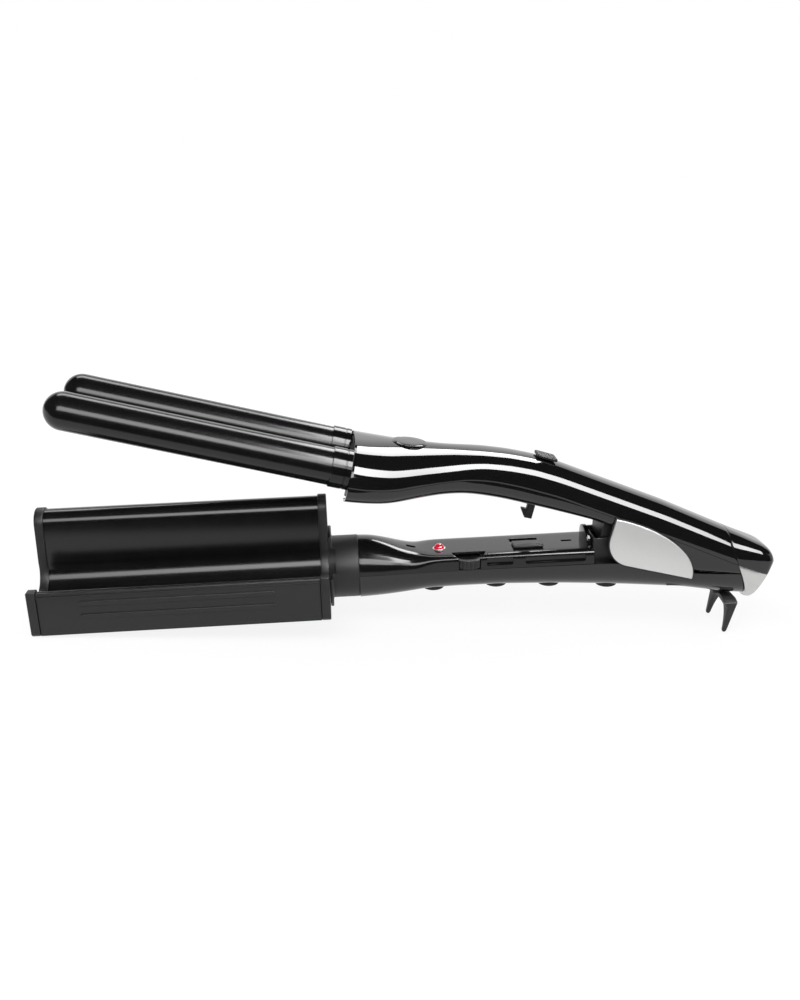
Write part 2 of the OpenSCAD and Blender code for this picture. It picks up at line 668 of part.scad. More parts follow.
module barrel_tube(side) upper_arm() color(gloss_black) at_barrel(side) turned_x(barrel_tip_x)
    difference() {
        union() {
            intersection() {
                circle(r = barrel_r, $fn = 64);
                translate([0, -barrel_r]) square(2 * barrel_r);
            }
            square([barrel_r, shell_front - barrel_tip_x]);
        }
        intersection() {
            circle(r = spigot_r, $fn = 64);
            translate([0, -barrel_r]) square(2 * barrel_r);
        }
        square([spigot_r, 400]);
        translate([-40, -barrel_d]) square([40, 400]);
    }

module barrel_collar(side) upper_arm() color(gloss_black) at_barrel(side) turned_x(collar_x)
    polygon([[barrel_r, 0], [collar_r - 0.3, 0], [collar_r, 0.3], [collar_r, collar_len - 0.3],
        [collar_r - 0.3, collar_len], [barrel_r, collar_len]]);

strip_size = [92, 9, 3];
core_gap = 0.03;
module heater_core(side) upper_arm() color(aluminium) at_barrel(side) difference() {
    bar_x(barrel_tip_x + 14, 0, 0, spigot_r - core_gap, 100);
    translate([barrel_tip_x + 12, -strip_size[1] / 2, -strip_size[2] / 2]) cube([104, strip_size[1],
        strip_size[2]]);
}
module heater_strip(side) upper_arm() color(ceramic) at_barrel(side)
    translate([barrel_tip_x + 18, -strip_size[1] / 2, -strip_size[2] / 2]) cube(strip_size);

// ---- upper handle ----

function cover_shape(x) = max(2.5, 2.9 - (x - shell_front + 1.5) * 0.008);
function upper_cover_rings(xs, t) = [for (x = xs) wall_ring(line(upper_w, x),
    line(upper_top, x) - line(upper_seam, x), line(upper_seam, x), cover_shape(x), 14, 0, t)];
function upper_base_rings(xs, t) = [for (x = xs) wall_ring(line(upper_w, x),
    line(upper_seam, x) - line(upper_bottom, x) - part_gap, line(upper_seam, x) - part_gap,
    3, 12, 180, t)];
function inside_rings(xs, g) = [for (x = xs) full_ring(line(upper_w, x) - g, line(upper_top, x) - g,
    line(upper_seam, x), line(upper_bottom, x) + g, 2.7, 12)];

// Solid of the lower neck with room g round it, open downwards
module neck_room(x0, x1, g) {
    xs = stations(x0, x1, 10);
    loft(xs, [for (x = xs) let (w = line(lower_w, x) + g, h = line(lower_top, x) + g - neck_z)
        concat(half_ring(w, h, neck_z, 2.1, 16, 0), [[-w, -20], [w, -20]])]);
}

// Area behind the seam of the tail cap, moved back by g
module tail_area(g) polygon([[354 + g, 60], [358.2 + g, 32.9], [360.5 + g, 26.5], [365.2 + g, 19],
    [369.2 + g, 13.6], [372.8 + g, 8.6], [376.2 + g, 3], [379 + g, -1], [380 + g, -20], [420, -20],
    [420, 60]]);

module upper_cover() upper_arm() color(gloss_black) difference() {
    xs = stations(shell_front, lower_end, 34);
    loft(xs, upper_cover_rings(xs, shell_wall));
    across_y(-30, 60) tail_area(-0.1);
    at_disc() cylinder(r = disc_r + fit / 2, h = 6);
    // slot for the lock slider
    slot_len = lock_stem[0] + lock_travel + 2 * fit;
    block(lock_x - lock_stem[0] / 2 - lock_travel - fit, lock_y - lock_stem[1] / 2 - fit, 38,
        [slot_len, lock_stem[1] + 2 * fit, 20]);
}

module upper_base() upper_arm() color(satin_black) difference() {
    union() {
        difference() {
            xs = stations(shell_front, lower_end, 34);
            loft(xs, upper_base_rings(xs, shell_wall));
            neck_room(shell_front - 1, tunnel_end, tunnel_gap);
            across_y(-30, 60) tail_area(-0.1);
            // open underneath over the spring and the hinge
            block(guard_front - 2, -lug_y, 0, [100, 2 * lug_y, 26]);
        }
        for (side = [0, 1]) mirror([0, side, 0])
            bar_y(hinge_x, lug_y, hinge_z, lug_r, plate_y - lug_y);
    }
    bar_y(hinge_x, -30, hinge_z, pin_d / 2, 60);
    // slot for the hook and pocket for the fin
    slot_len = lock_stem[0] + barb_reach + lock_travel + 2 * fit;
    block(lock_x - lock_stem[0] / 2 - barb_reach - lock_travel - fit, lock_y - lock_stem[1] / 2 - fit,
        18, [slot_len, lock_stem[1] + 2 * fit, 14]);
    block(cover_end - 8, -fin_r - 1.2, 20, [10, 2 * (fin_r + 1.2), 12]);
}

module barrel_carrier() upper_arm() color(satin_black) {
    difference() {
        union() {
            intersection() {
                xs = stations(shell_front, 204, 9);
                loft(xs, inside_rings(xs, shell_wall + 0.3));
                union() {
                    block(shell_front, -40, -10, [3, 80, 80]);
                    neck_room(shell_front + 1, 203, tunnel_gap + 1.6);
                }
            }
            for (s = [-1, 1]) at_barrel(s) bar_x(shell_front - 12, 0, 0, spigot_r - core_gap, 12 + eps);
        }
        neck_room(shell_front - eps, 206, tunnel_gap);
        for (s = [-1, 1]) {
            at_barrel(s) bar_x(shell_front - 13, 0, 0, 3, 20);
            bar_x(screw_x - screw_grip, s * screw_y, screw_z, 1, 10);
        }
    }
}

// Screws that hold the carrier, set in from the shells by the same distance at any size
screw_x = shell_front + 3;
screw_y = line(upper_w, screw_x) - 5.4;
screw_z = line(upper_seam, screw_x) + 1.2;
screw_grip = 2.6;
module carrier_screws() upper_arm() color(steel) for (s = [-1, 1])
    translate([screw_x, s * screw_y, screw_z]) rotate([0, 90, 0]) {
        cylinder(r = 2.2, h = 1.4, $fn = 24);
        translate([0, 0, -screw_grip]) cylinder(r = 1, h = screw_grip + 0.1);
    }

disc_x = shell_front + 28.5;
disc_r = 9;
disc_t = 1.9;
module at_disc() translate([disc_x, 0, line(upper_top, disc_x) - 1]) rotate([0, -7, 0]) children();

module top_disc() upper_arm() color(satin_black) at_disc() difference() {
    translate([0, 0, fit]) cylinder(r = disc_r, h = disc_t);
    translate([0, 0, fit + disc_t - 0.6]) cylinder(r = disc_r - 1.6, h = 2);
}

module spring_guard_upper() upper_arm() color(satin_black) {
    difference() {
        block(guard_x, -guard_w / 2, 14, [guard_len, guard_w, guard_bridge_z - 14 + eps]);
        block(guard_x + guard_wall, -guard_w / 2 + guard_wall, 10, [guard_len - 2 * guard_wall,
            guard_w - 2 * guard_wall, 30]);
    }
    // bridge between the side walls, which the spring pushes against
    block(guard_x, -13.2, guard_bridge_z, [guard_len, 26.4, 2]);
}

module side_plate(side) upper_arm() color(silver) mirror([0, side < 0 ? 1 : 0, 0]) difference() {
    across_y(plate_y, side_plate_t) polygon(drop_shape());
    bar_y(hinge_x, plate_y - 1, hinge_z, pin_d / 2, 1 + side_plate_t / 2);
}

module hinge_pin() upper_arm() color(steel) bar_y(hinge_x, -plate_y - side_plate_t / 2, hinge_z,
    pin_d / 2, 2 * plate_y + side_plate_t);

// Line between the black tail cap and its silver trim
module trim_area() polygon([[350, 20.5], [369, 16.6], [400, 13.2], [400, -30], [350, -30]]);

module tail_solid(g) {
    xs = concat(stations(352, 380, 7), [382, 383.5, 385, 386, 386.8, tail_tip_x]);
    loft(xs, [for (x = xs) full_ring(lookup(x, tail_w) - g, lookup(x, tail_top) - g,
        lookup(x, tail_seam), lookup(x, tail_bottom) + g, 2.6, 12)]);
}

gland_x = 377;
gland_z = 8;
gland_r = outlet_r + 1.8;
gland_len = 8.4;
wire_room = 0.8;
module tail_cap() upper_arm() color(gloss_black) difference() {
    intersection() {
        tail_solid(0);
        across_y(-30, 60) tail_area(0.1);
    }
    across_y(-30, 60) trim_area();
}

module tail_trim() upper_arm() color(silver) difference() {
    intersection() {
        tail_solid(0);
        across_y(-30, 60) tail_area(0.1);
        across_y(-30, 60) trim_area();
    }
    bar_x(gland_x, 0, gland_z, gland_r, 30);
    bar_x(gland_x - 12, 0, gland_z, outlet_r + wire_room, 13);
}

module cord_gland() upper_arm() color(rubber) difference() {
    bar_x(gland_x, 0, gland_z, gland_r, gland_len);
    bar_x(gland_x - 1, 0, gland_z, outlet_r, gland_len + 2);
}

module upper_wiring() upper_arm() color(wire_grey) bar_x(206, 8, 40, wire_r, 60);

module lock_slider() upper_arm() color(satin_black) {
    top = line(upper_top, lock_x);
    // button
    translate([lock_x - 6.4, -button_size[1] / 2, top + 0.75]) rotate([0, 3, 0])
        difference() {
            cube([button_size[0], button_size[1], 1.8]);
            for (i = [0:3]) translate([1.9 + i * 2.4, button_size[1] / 2, 2]) rotate([90, 0, 0])
                cylinder(r = 0.5, h = button_size[1] - 2, center = true, $fn = 24);
        }
    // stem with a barbed hook
    block(lock_x - lock_stem[0] / 2, lock_y - lock_stem[1] / 2, lock_z, [lock_stem[0], lock_stem[1],
        top + 1 - lock_z]);
    across_y(lock_y - lock_stem[1] / 2, lock_stem[1]) polygon([[lock_x - 1, lock_z],
        [lock_x - lock_stem[0] / 2, lock_z], [lock_x - lock_stem[0] / 2 - barb_reach, lock_z + 4.2],
        [lock_x - lock_stem[0] / 2 - barb_reach, lock_z + 4.9], [lock_x - 1, lock_z + 4.9]]);
}

wave_plate();
jaw_housing();
front_end_cap();
rear_end_cap();
neck_collar();
ridge_heater();
heater_clamp();
heat_shield();
thermal_fuse();
lower_shell();
inner_cover();
indicator_lens();
control_board();
grip_nubs();
shell_screws();
hinge_bushes();
opening_spring();
spring_guard_lower();
stand_pin();
lower_wiring();
power_switch_knob();
temperature_dial();
stand_fork();
barrel_tube(-1);  // near_barrel_tube
barrel_tube(1);  // far_barrel_tube
barrel_collar(-1);  // near_barrel_collar
barrel_collar(1);  // far_barrel_collar
heater_core(-1);  // near_heater_core
heater_core(1);  // far_heater_core
heater_strip(-1);  // near_heater_strip
heater_strip(1);  // far_heater_strip
barrel_carrier();
carrier_screws();
upper_cover();
upper_base();
top_disc();
spring_guard_upper();
side_plate(-1);  // near_side_plate
side_plate(1);  // far_side_plate
hinge_pin();
tail_cap();
tail_trim();
cord_gland();
upper_wiring();
lock_slider();
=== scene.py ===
import math

import bpy
from mathutils import Matrix, Vector


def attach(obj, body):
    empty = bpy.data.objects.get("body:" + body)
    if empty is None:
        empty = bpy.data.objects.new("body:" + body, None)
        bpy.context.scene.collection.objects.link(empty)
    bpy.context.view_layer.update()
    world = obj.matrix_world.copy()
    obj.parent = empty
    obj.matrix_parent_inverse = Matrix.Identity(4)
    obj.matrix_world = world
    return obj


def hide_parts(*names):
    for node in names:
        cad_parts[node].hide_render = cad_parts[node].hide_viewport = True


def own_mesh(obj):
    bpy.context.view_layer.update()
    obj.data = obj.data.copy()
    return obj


bl_info = {
    "name": "Hair waver",
    "version": (1, 0, 0),
    "blender": (4, 5, 0),
    "location": "View3D > Sidebar > Waver",
    "description": "Builds the visible pieces of a two-barrel hair waver over its fixed frame",
    "category": "Object",
}

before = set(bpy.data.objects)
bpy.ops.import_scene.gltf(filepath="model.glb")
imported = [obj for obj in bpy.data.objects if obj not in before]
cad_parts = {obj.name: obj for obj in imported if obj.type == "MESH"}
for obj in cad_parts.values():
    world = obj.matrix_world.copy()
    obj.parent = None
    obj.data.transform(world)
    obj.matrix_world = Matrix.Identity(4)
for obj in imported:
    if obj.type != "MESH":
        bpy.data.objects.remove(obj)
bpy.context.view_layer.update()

# ---- sizes shared with the solids, in millimetres, closed and level ----

HINGE = (334.0, 12.0)  # x and z of the hinge axis
OPEN_ANGLE = math.radians(15)
BARREL_Z = 27.0
SHELL_FRONT = 151.5
COLLAR_X = 141.5
COLLAR_END = 164.1
NECK_Z = 14.2
COVER_END = 288.0
SHELL_WALL = 2.2
THIN_WALL = 1.2  # where a shell turns a tight corner
STAND_DROP = 30.8  # how far the fork's tips hang below the jaw's floor
STAND_TIP_X = 363.0
STAND_TIP_R = 1.2
STAND_HINGE = (359.5, -6.6)  # x and z of the pin the fork turns on
TAIL_TIP_X = 387.4
TAIL_TIP_Z = 22.0
GLAND_Z = 8.0
RIDGE_H = 55.0
JAW_START, JAW_RUN = 4.5, 139.5  # the jaw's housing between its end caps
PLATE_HALF, PLATE_TOP = 34.1, 22.7
CAP_HALF = 37.0  # half the width over the jaw's end caps
WALL_TOP = 23.5
BOSS_X, BOSS_Y = (18, 74.25, 130.5), (-24, 24)  # posts on the housing's floor
DISC_X = 180.0
LAMP = (207.2, -1.7)  # x and y of the indicator lens
DIAL = (222.0, -8.0)  # x and y of the dial's axis
NUB_X = (204, 238, 267, 299)
NOTCH = 0.45  # depth of the dial's finger notches
SPRING_FOOT = (297.4, 0, 6.1)

LOWER_W = [(140, 16.5), (165, 16.2), (176, 16), (188, 15.3), (200, 15), (245, 15), (275, 15.3),
           (300, 15.5), (345, 15.5), (360, 15), (374, 14)]
LOWER_TOP = [(140, 30.7), (165, 30.4), (172, 30), (180, 27.6), (188, 24.6), (197, 22.3),
             (206, 22), (300, 22)]
LOWER_BOTTOM = [(150, -2.3), (165, -2.1), (176, -1.6), (188, -0.6), (200, 1), (215, 1.4),
                (240, 1.2), (272, -0.4), (300, -2.6), (340, -6.2), (364, -11), (380, -13)]
LOWER_SEAM = [(150, 14.2), (200, 14), (296, 14), (308, 12.8), (325, 9.2), (343, 5.2), (373, 2.6)]
UPPER_W = [(150, 31.5), (160, 31.4), (170, 29.6), (180, 26.2), (190, 22.4), (200, 19.4),
           (210, 17.6), (222, 16.5), (240, 16), (280, 15.9), (345, 15.9), (360, 15.7),
           (372, 15.2), (379, 14.3)]
UPPER_TOP = [(150, 39.2), (160, 40), (173, 41.5), (185, 42.8), (197, 44.3), (208, 46),
             (218, 47.6), (232, 49), (246, 49.3), (260, 48.1), (285, 44.6), (321, 39.6),
             (347, 34.9), (359, 32.8), (383, 28.6)]
UPPER_SEAM = [(150, 20.6), (160, 21), (175, 23), (188, 26.7), (200, 30.2), (212, 33.3),
              (225, 34.8), (239, 34.8), (260, 33.6), (283, 30.4), (300, 28), (315, 25.8),
              (346, 20.7), (367, 17), (387, 16)]
UPPER_BOTTOM = [(150, 9), (160, 10.3), (170, 11.5), (178, 13.4), (190, 17.6), (200, 20.8),
                (210, 23.2), (218, 24.2), (232, 24.8), (250, 24.5), (270, 24), (284, 23.6),
                (292, 22), (300, 19.5), (320, 13.8), (335, 9.6), (343, 7.8), (368, 12),
                (380, 12.6)]
TAIL_BOTTOM = [(340, -2), (382, -2), (384, 3), (386, 12.5), (387.4, 20)]
TAIL_TOP = [(340, 36.2), (359, 32.8), (380, 29.1), (383.5, 28), (386, 26), (387.4, 23)]
TAIL_W = [(340, 16), (360, 15.7), (372, 15.2), (379, 14.8), (384, 14), (386.2, 12.8),
          (387, 11.4), (387.4, 9)]
TAIL_SEAM = [(340, 21.6), (367, 17.1), (381, 17.2), (384.5, 18.6), (387.4, 21.5)]
# Line between the handle's cover and the tail cap, as (z, x)
TAIL_LINE = [(-20, 380), (-1, 379), (3, 376.2), (8.6, 372.8), (13.6, 369.2), (19, 365.2),
             (26.5, 360.5), (32.9, 358.2), (60, 354)]


# ---- places ----

def opened(x, z):
    """Where a point of the upper arm goes as the arms open."""
    dx, dz = x - HINGE[0], z - HINGE[1]
    return (HINGE[0] + dx * math.cos(OPEN_ANGLE) + dz * math.sin(OPEN_ANGLE),
            HINGE[1] + dz * math.cos(OPEN_ANGLE) - dx * math.sin(OPEN_ANGLE))


# How far the iron tips back until the fork's tips are on the ground
TILT = (math.atan(STAND_DROP / STAND_TIP_X)
        + math.asin(STAND_TIP_R / math.hypot(STAND_TIP_X, STAND_DROP)))


def stand_frame():
    """From the level arm in millimetres to the iron tipped back on its stand, in metres."""
    tail_x, tail_z = opened(TAIL_TIP_X, TAIL_TIP_Z + 1)
    rear = tail_x * math.cos(TILT) - tail_z * math.sin(TILT)
    centre = (rear - RIDGE_H * math.sin(TILT)) / 2
    return (Matrix.Scale(0.001, 4) @ Matrix.Translation((-centre, 0, 0))
            @ Matrix.Rotation(-TILT, 4, "Y"))


LOWER_ARM = stand_frame()
UPPER_ARM = (LOWER_ARM @ Matrix.Translation((HINGE[0], 0, HINGE[1]))
             @ Matrix.Rotation(OPEN_ANGLE, 4, "Y") @ Matrix.Translation((-HINGE[0], 0, -HINGE[1])))
# The cap's line as the lower arm sees it with the arms open
OPEN_TAIL_LINE = sorted((z, x) for x, z in (opened(x, z) for z, x in TAIL_LINE))


def spread(start, end, count):
    """The values from start to end in count even steps."""
    return [start + (end - start) * i / count for i in range(count + 1)]


def arc(across, up, radius, start, end, count, height=None):
    """Points round a centre from one angle to another, in degrees. A height makes it an oval."""
    return [(across + radius * math.cos(t), up + (height or radius) * math.sin(t))
            for t in map(math.radians, spread(start, end, count))]


def lookup(table, x):
    """Value at x on the straight lines between a table's points."""
    if x <= table[0][0]:
        return table[0][1]
    for (x0, v0), (x1, v1) in zip(table, table[1:]):
        if x <= x1:
            return v0 + (v1 - v0) * (x - x0) / (x1 - x0)
    return table[-1][1]


def line(table, x, reach=4):
    """Value of a line at x, with its corners blended over a few millimetres."""
    return (lookup(table, x - reach) + lookup(table, x - reach / 2) + 2 * lookup(table, x)
            + lookup(table, x + reach / 2) + lookup(table, x + reach)) / 6


def oval(width, height, middle, power, angle, side_power=None):
    """Point (y, z) of a rounded section; angle 0 is the far side and 90 the top. A high power
    flattens the top, and a high side power the sides."""
    c, s = math.cos(math.radians(angle)), math.sin(math.radians(angle))
    return (math.copysign(abs(c) ** (2 / power), c) * width,
            middle + math.copysign(abs(s) ** (2 / (side_power or power)), s) * height)


# ---- bench work ----

def only(obj):
    if bpy.context.object and bpy.context.object.mode != "OBJECT":
        bpy.ops.object.mode_set(mode="OBJECT")
    bpy.ops.object.select_all(action="DESELECT")
    obj.select_set(True)
    bpy.context.view_layer.objects.active = obj
    return obj


def placed(obj, matrix):
    """Moves obj and puts its place in its mesh."""
    obj.matrix_world = matrix
    only(obj)
    bpy.ops.object.transform_apply(location=True, rotation=True, scale=True)
    return obj


def added():
    """The primitive just added, with its place in its mesh."""
    obj = only(bpy.context.object)
    bpy.ops.object.transform_apply(location=True, rotation=True, scale=True)
    return obj


def edit(obj, operator, **settings):
    """Runs one edit-mode operator on the whole of obj."""
    only(obj)
    bpy.ops.object.mode_set(mode="EDIT")
    bpy.ops.mesh.select_all(action="SELECT")
    operator(**settings)
    bpy.ops.object.mode_set(mode="OBJECT")
    return obj


def outward(obj):
    return edit(obj, bpy.ops.mesh.normals_make_consistent, inside=False)


def weld(obj, distance=0.001):
    return edit(obj, bpy.ops.mesh.remove_doubles, threshold=distance)


def capped(obj):
    """Closes the open ends of a tube."""
    return outward(edit(obj, bpy.ops.mesh.fill_holes, sides=0))


def modify(obj, kind, **settings):
    only(obj)
    modifier = obj.modifiers.new(kind.title(), kind)
    for key, value in settings.items():
        setattr(modifier, key, value)
    bpy.ops.object.modifier_apply(modifier=modifier.name)
    return obj


def ease(obj, width, segments=2, angle=50):
    """Breaks the sharp edges, as on every moulded part."""
    return modify(obj, "BEVEL", width=width, segments=segments, limit_method="ANGLE",
                  angle_limit=math.radians(angle))


def thicken(obj, wall):
    return modify(obj, "SOLIDIFY", thickness=wall, offset=-1, use_even_offset=True)


def joined(obj, *others):
    only(obj)
    for other in others:
        other.select_set(True)
    bpy.ops.object.join()
    return obj


def bool_with(obj, tool, operation):
    modify(obj, "BOOLEAN", operation=operation, object=tool, solver="EXACT")
    bpy.data.objects.remove(tool)
    return obj


def cut(obj, *tools):
    for tool in tools:
        bool_with(obj, tool, "DIFFERENCE")
    return obj


def block(x, y, z, sx, sy, sz):
    bpy.ops.mesh.primitive_cube_add(size=1, location=(x + sx / 2, y + sy / 2, z + sz / 2),
                                    scale=(sx, sy, sz))
    return added()


def rod(axis, centre, radius, length, sides=64):
    turn = {"X": (0, math.pi / 2, 0), "Y": (math.pi / 2, 0, 0), "Z": (0, 0, 0)}[axis]
    bpy.ops.mesh.primitive_cylinder_add(vertices=sides, radius=radius, depth=length,
                                        location=centre, rotation=turn)
    return added()


def plate(points, axis, start, length):
    """An outline drawn out along an axis: (y, z) along x, (x, z) along y or (x, y) along z."""
    bpy.ops.mesh.primitive_circle_add(vertices=len(points), radius=1, fill_type="NGON")
    obj = added()
    spot = {"X": lambda p: (start, p[0], p[1]), "Y": lambda p: (p[0], start, p[1]),
            "Z": lambda p: (p[0], p[1], start)}[axis]
    around = sorted(obj.data.vertices, key=lambda v: math.atan2(v.co.y, v.co.x) % (2 * math.pi))
    for vertex, point in zip(around, points):
        vertex.co = spot(point)
    way = [length if a == axis else 0 for a in "XYZ"]
    edit(obj, bpy.ops.mesh.extrude_region_move, TRANSFORM_OT_translate={"value": way})
    return outward(obj)


def skin(rows):
    """A grid laid through rows of points."""
    n, m = len(rows), len(rows[0])
    bpy.ops.mesh.primitive_grid_add(x_subdivisions=n - 1, y_subdivisions=m - 1, size=2)
    obj = added()
    if len(obj.data.vertices) != n * m:
        raise RuntimeError(f"the grid has {len(obj.data.vertices)} points, not {n * m}")
    for vertex in obj.data.vertices:
        i = round((vertex.co.x + 1) / 2 * (n - 1))
        j = round((vertex.co.y + 1) / 2 * (m - 1))
        vertex.co = rows[i][j]
    return obj


def facing(obj, way):
    """Turns an open skin so that its faces point along way on the whole."""
    total = sum((f.normal * f.area for f in obj.data.polygons), Vector())
    return edit(obj, bpy.ops.mesh.flip_normals) if total.dot(Vector(way)) < 0 else obj


def turned(profile, axis, centre, sides=96):
    """A closed profile of (along, radius) turned round an axis."""
    place = {"X": lambda a, c, s: (a, c, s), "Y": lambda a, c, s: (s, a, c),
             "Z": lambda a, c, s: (c, s, a)}[axis]
    rows = [[Vector(place(a, r * math.cos(t), r * math.sin(t))) + Vector(centre)
             for a, r in profile] for t in spread(0, 2 * math.pi, sides)]
    return outward(weld(skin(rows)))


def copy_of(obj, shift=(0, 0, 0)):
    other = obj.copy()
    other.data = obj.data.copy()
    bpy.context.scene.collection.objects.link(other)
    return placed(other, Matrix.Translation(shift))


def hand_over(obj, name, body, material, stands_for=(), angle=32):
    """Puts a finished piece in its place and gives it its finish and its body."""
    placed(obj, UPPER_ARM if body in ("upper_arm", "lock") else LOWER_ARM)
    obj.name = obj.data.name = name
    bpy.ops.object.shade_smooth_by_angle(angle=math.radians(angle))
    obj.data.materials.clear()
    obj.data.materials.append(material)
    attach(obj, body)
    if stands_for:
        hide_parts(*stands_for)
    return obj


# ---- materials ----

MIX_A, MIX_B = 6, 7  # the two colour sockets of a mix node


def linear(colour):
    """Linear colour from sRGB hex. One of the panel's colours is linear already."""
    if not isinstance(colour, str):
        return (*colour, 1.0)
    parts = [int(colour[i:i + 2], 16) / 255 for i in (1, 3, 5)]
    return (*(v / 12.92 if v <= 0.04045 else ((v + 0.055) / 1.055) ** 2.4 for v in parts), 1.0)


def node(tree, kind, settings=None, values=None, **links):
    """Adds a node, sets it, and links its inputs from sockets, named with _ for a space or by
    number as n0, n1 and so on."""
    made = tree.nodes.new(kind)
    for key, value in (settings or {}).items():
        setattr(made, key, value)
    for key, value in (values or {}).items():
        made.inputs[key].default_value = value
    for key, socket in links.items():
        number = key[0] == "n" and key[1:].isdigit()
        tree.links.new(socket, made.inputs[int(key[1:]) if number else key.replace("_", " ")])
    return made


def new_material(name):
    """The material, its node tree and its output, or only the material if it is there already."""
    made = bpy.data.materials.get(name)
    if made:
        return made, None, None
    made = bpy.data.materials.new(name)
    made.use_nodes = True
    made.node_tree.nodes.clear()
    return made, made.node_tree, node(made.node_tree, "ShaderNodeOutputMaterial")


def finish(name, dark, light, rough, mottle_mm, grain_mm, grain_depth_mm, **shader):
    """Mottled colour between two close tones, roughness between two values, and a fine grain."""
    made, tree, output = new_material(name)
    if tree is None:
        return made
    place = node(tree, "ShaderNodeTexCoord")
    mottle = node(tree, "ShaderNodeTexNoise", values={"Scale": 1000 / mottle_mm, "Detail": 3.0},
                  Vector=place.outputs["Object"])
    grain = node(tree, "ShaderNodeTexNoise", values={"Scale": 1000 / grain_mm, "Detail": 2.0},
                 Vector=place.outputs["Object"])
    colour = node(tree, "ShaderNodeMix", {"data_type": "RGBA"},
                  {MIX_A: linear(dark), MIX_B: linear(light)}, n0=mottle.outputs["Fac"])
    roughness = node(tree, "ShaderNodeMapRange", values={"To Min": rough[0], "To Max": rough[1]},
                     Value=mottle.outputs["Fac"])
    bump = node(tree, "ShaderNodeBump", values={"Strength": 1.0, "Distance": grain_depth_mm / 1000},
                Height=grain.outputs["Fac"])
    surface = node(tree, "ShaderNodeBsdfPrincipled", values=shader, Base_Color=colour.outputs[2],
                   Roughness=roughness.outputs[0], Normal=bump.outputs[0])
    tree.links.new(surface.outputs[0], output.inputs[0])
    return made


def piano_black():
    # ABS, moulded in a mirror-polished tool: deep black with sharp, unbroken reflections
    return finish("ABS polished mould", colours().handle, "#19191a", (0.035, 0.06), 22, 1.6,
                  0.0004, IOR=1.53)


def collar_black():
    # Heat-proof polyamide, moulded and buffed: black gloss a little duller than the handle
    return finish("Polyamide buffed", "#111112", "#171718", (0.10, 0.14), 8, 0.6, 0.0006, IOR=1.4)


def baked_coating():
    # Tourmaline ceramic coat, sprayed and baked: black, a little softer than polished plastic
    return finish("Ceramic coat sprayed and baked", "#101011", "#161617", (0.16, 0.20), 9, 0.5,
                  0.0005, IOR=1.45)


def textured_plastic():
    # Glass-filled PBT from a spark-eroded tool: dull charcoal with a fine even grain. The real
    # grain is near 0.1 mm; it is drawn at 0.35 mm so that it shows
    return finish("PBT spark-eroded mould", "#131314", "#18181a", (0.42, 0.52), 6, 0.35, 0.012,
                  IOR=1.45)


def satin_face():
    # ABS from a stoned, unpolished tool: black with a slightly blurred reflection
    return finish("ABS stoned mould", "#141415", "#19191a", (0.11, 0.15), 14, 0.8, 0.0008,
                  IOR=1.42)


def silver_paint():
    # ABS sprayed with aluminium-flake lacquer: pale satin silver with a fine sparkle. The flakes
    # are near 0.03 mm and are drawn at 0.3 mm
    return finish("ABS aluminium-flake lacquer", colours().silver, "#dcdcdb", (0.32, 0.42), 0.3,
                  0.3, 0.0015, Metallic=0.55, IOR=1.5)


def bright_silver():
    # Vacuum-metallised ABS: brighter and smoother than the lacquer
    return finish("ABS vacuum-metallised", "#bebebd", "#cdcdcc", (0.20, 0.28), 5, 0.4, 0.0008,
                  Metallic=0.9)


def turned_steel():
    # Mild steel, drawn and zinc-plated: mid grey metal with a faint haze
    return finish("Steel zinc-plated", "#9d9d9b", "#b4b4b1", (0.28, 0.40), 3, 0.3, 0.001,
                  Metallic=1.0)


def cast_aluminium():
    # Aluminium, extruded and cut: pale metal, slightly cloudy
    return finish("Aluminium extruded", "#b9b9b8", "#c9c9c8", (0.35, 0.5), 4, 0.4, 0.002,
                  Metallic=1.0)


def steatite():
    # Steatite ceramic, pressed and fired: chalky off-white
    return finish("Steatite fired", "#ddd8cb", "#e8e4da", (0.55, 0.7), 4, 0.4, 0.004, IOR=1.6)


def nub_rubber():
    # Silicone rubber, compression moulded: dull black that takes no sharp highlight
    return finish("Silicone rubber moulded", "#171717", "#1f1f1f", (0.55, 0.68), 5, 0.4, 0.006,
                  IOR=1.41)


def board_laminate():
    # Glass-epoxy board with solder mask: green, faintly woven
    return finish("Glass epoxy solder mask", "#235a3a", "#2f7049", (0.3, 0.4), 2, 0.5, 0.003,
                  IOR=1.5)


def wire_sleeve():
    # Glass-fibre sleeving over the leads: mid grey and dull
    return finish("Glass fibre sleeve", "#4d4d4d", "#5f5f5f", (0.6, 0.75), 1.2, 0.5, 0.02, IOR=1.5)


def bush_resin():
    # Acetal, machined: milky white and slightly waxy
    return finish("Acetal machined", "#d9d7d0", "#e6e4de", (0.35, 0.45), 5, 0.5, 0.002, IOR=1.48)


def lens_red():
    # Diffusing acrylic, injection moulded: clear red with a lamp's pale heart behind it
    made, tree, output = new_material("Acrylic red diffusing")
    if tree is None:
        return made
    place = node(tree, "ShaderNodeTexCoord")
    cloud = node(tree, "ShaderNodeTexNoise", values={"Scale": 900.0, "Detail": 2.0},
                 Vector=place.outputs["Object"])
    colour = node(tree, "ShaderNodeMix", {"data_type": "RGBA"},
                  {MIX_A: linear("#c8102a"), MIX_B: linear("#e8304a")}, n0=cloud.outputs["Fac"])
    surface = node(tree, "ShaderNodeBsdfPrincipled",
                   values={"Roughness": 0.12, "IOR": 1.49, "Coat Weight": 0.5,
                           "Emission Strength": 0.35},
                   Base_Color=colour.outputs[2], Emission_Color=colour.outputs[2])
    tree.links.new(surface.outputs[0], output.inputs[0])
    return made


# ---- sections of the arms ----

def meet(section, lines, gap, angles):
    """Where each angle of a section comes to the line of the tail cap, less a gap."""
    ends = []
    for a in angles:
        x = lines[len(lines) // 2][1]
        for _ in range(25):
            x = lookup(lines, section(x, a)[1]) - gap
        ends.append(x)
    return ends


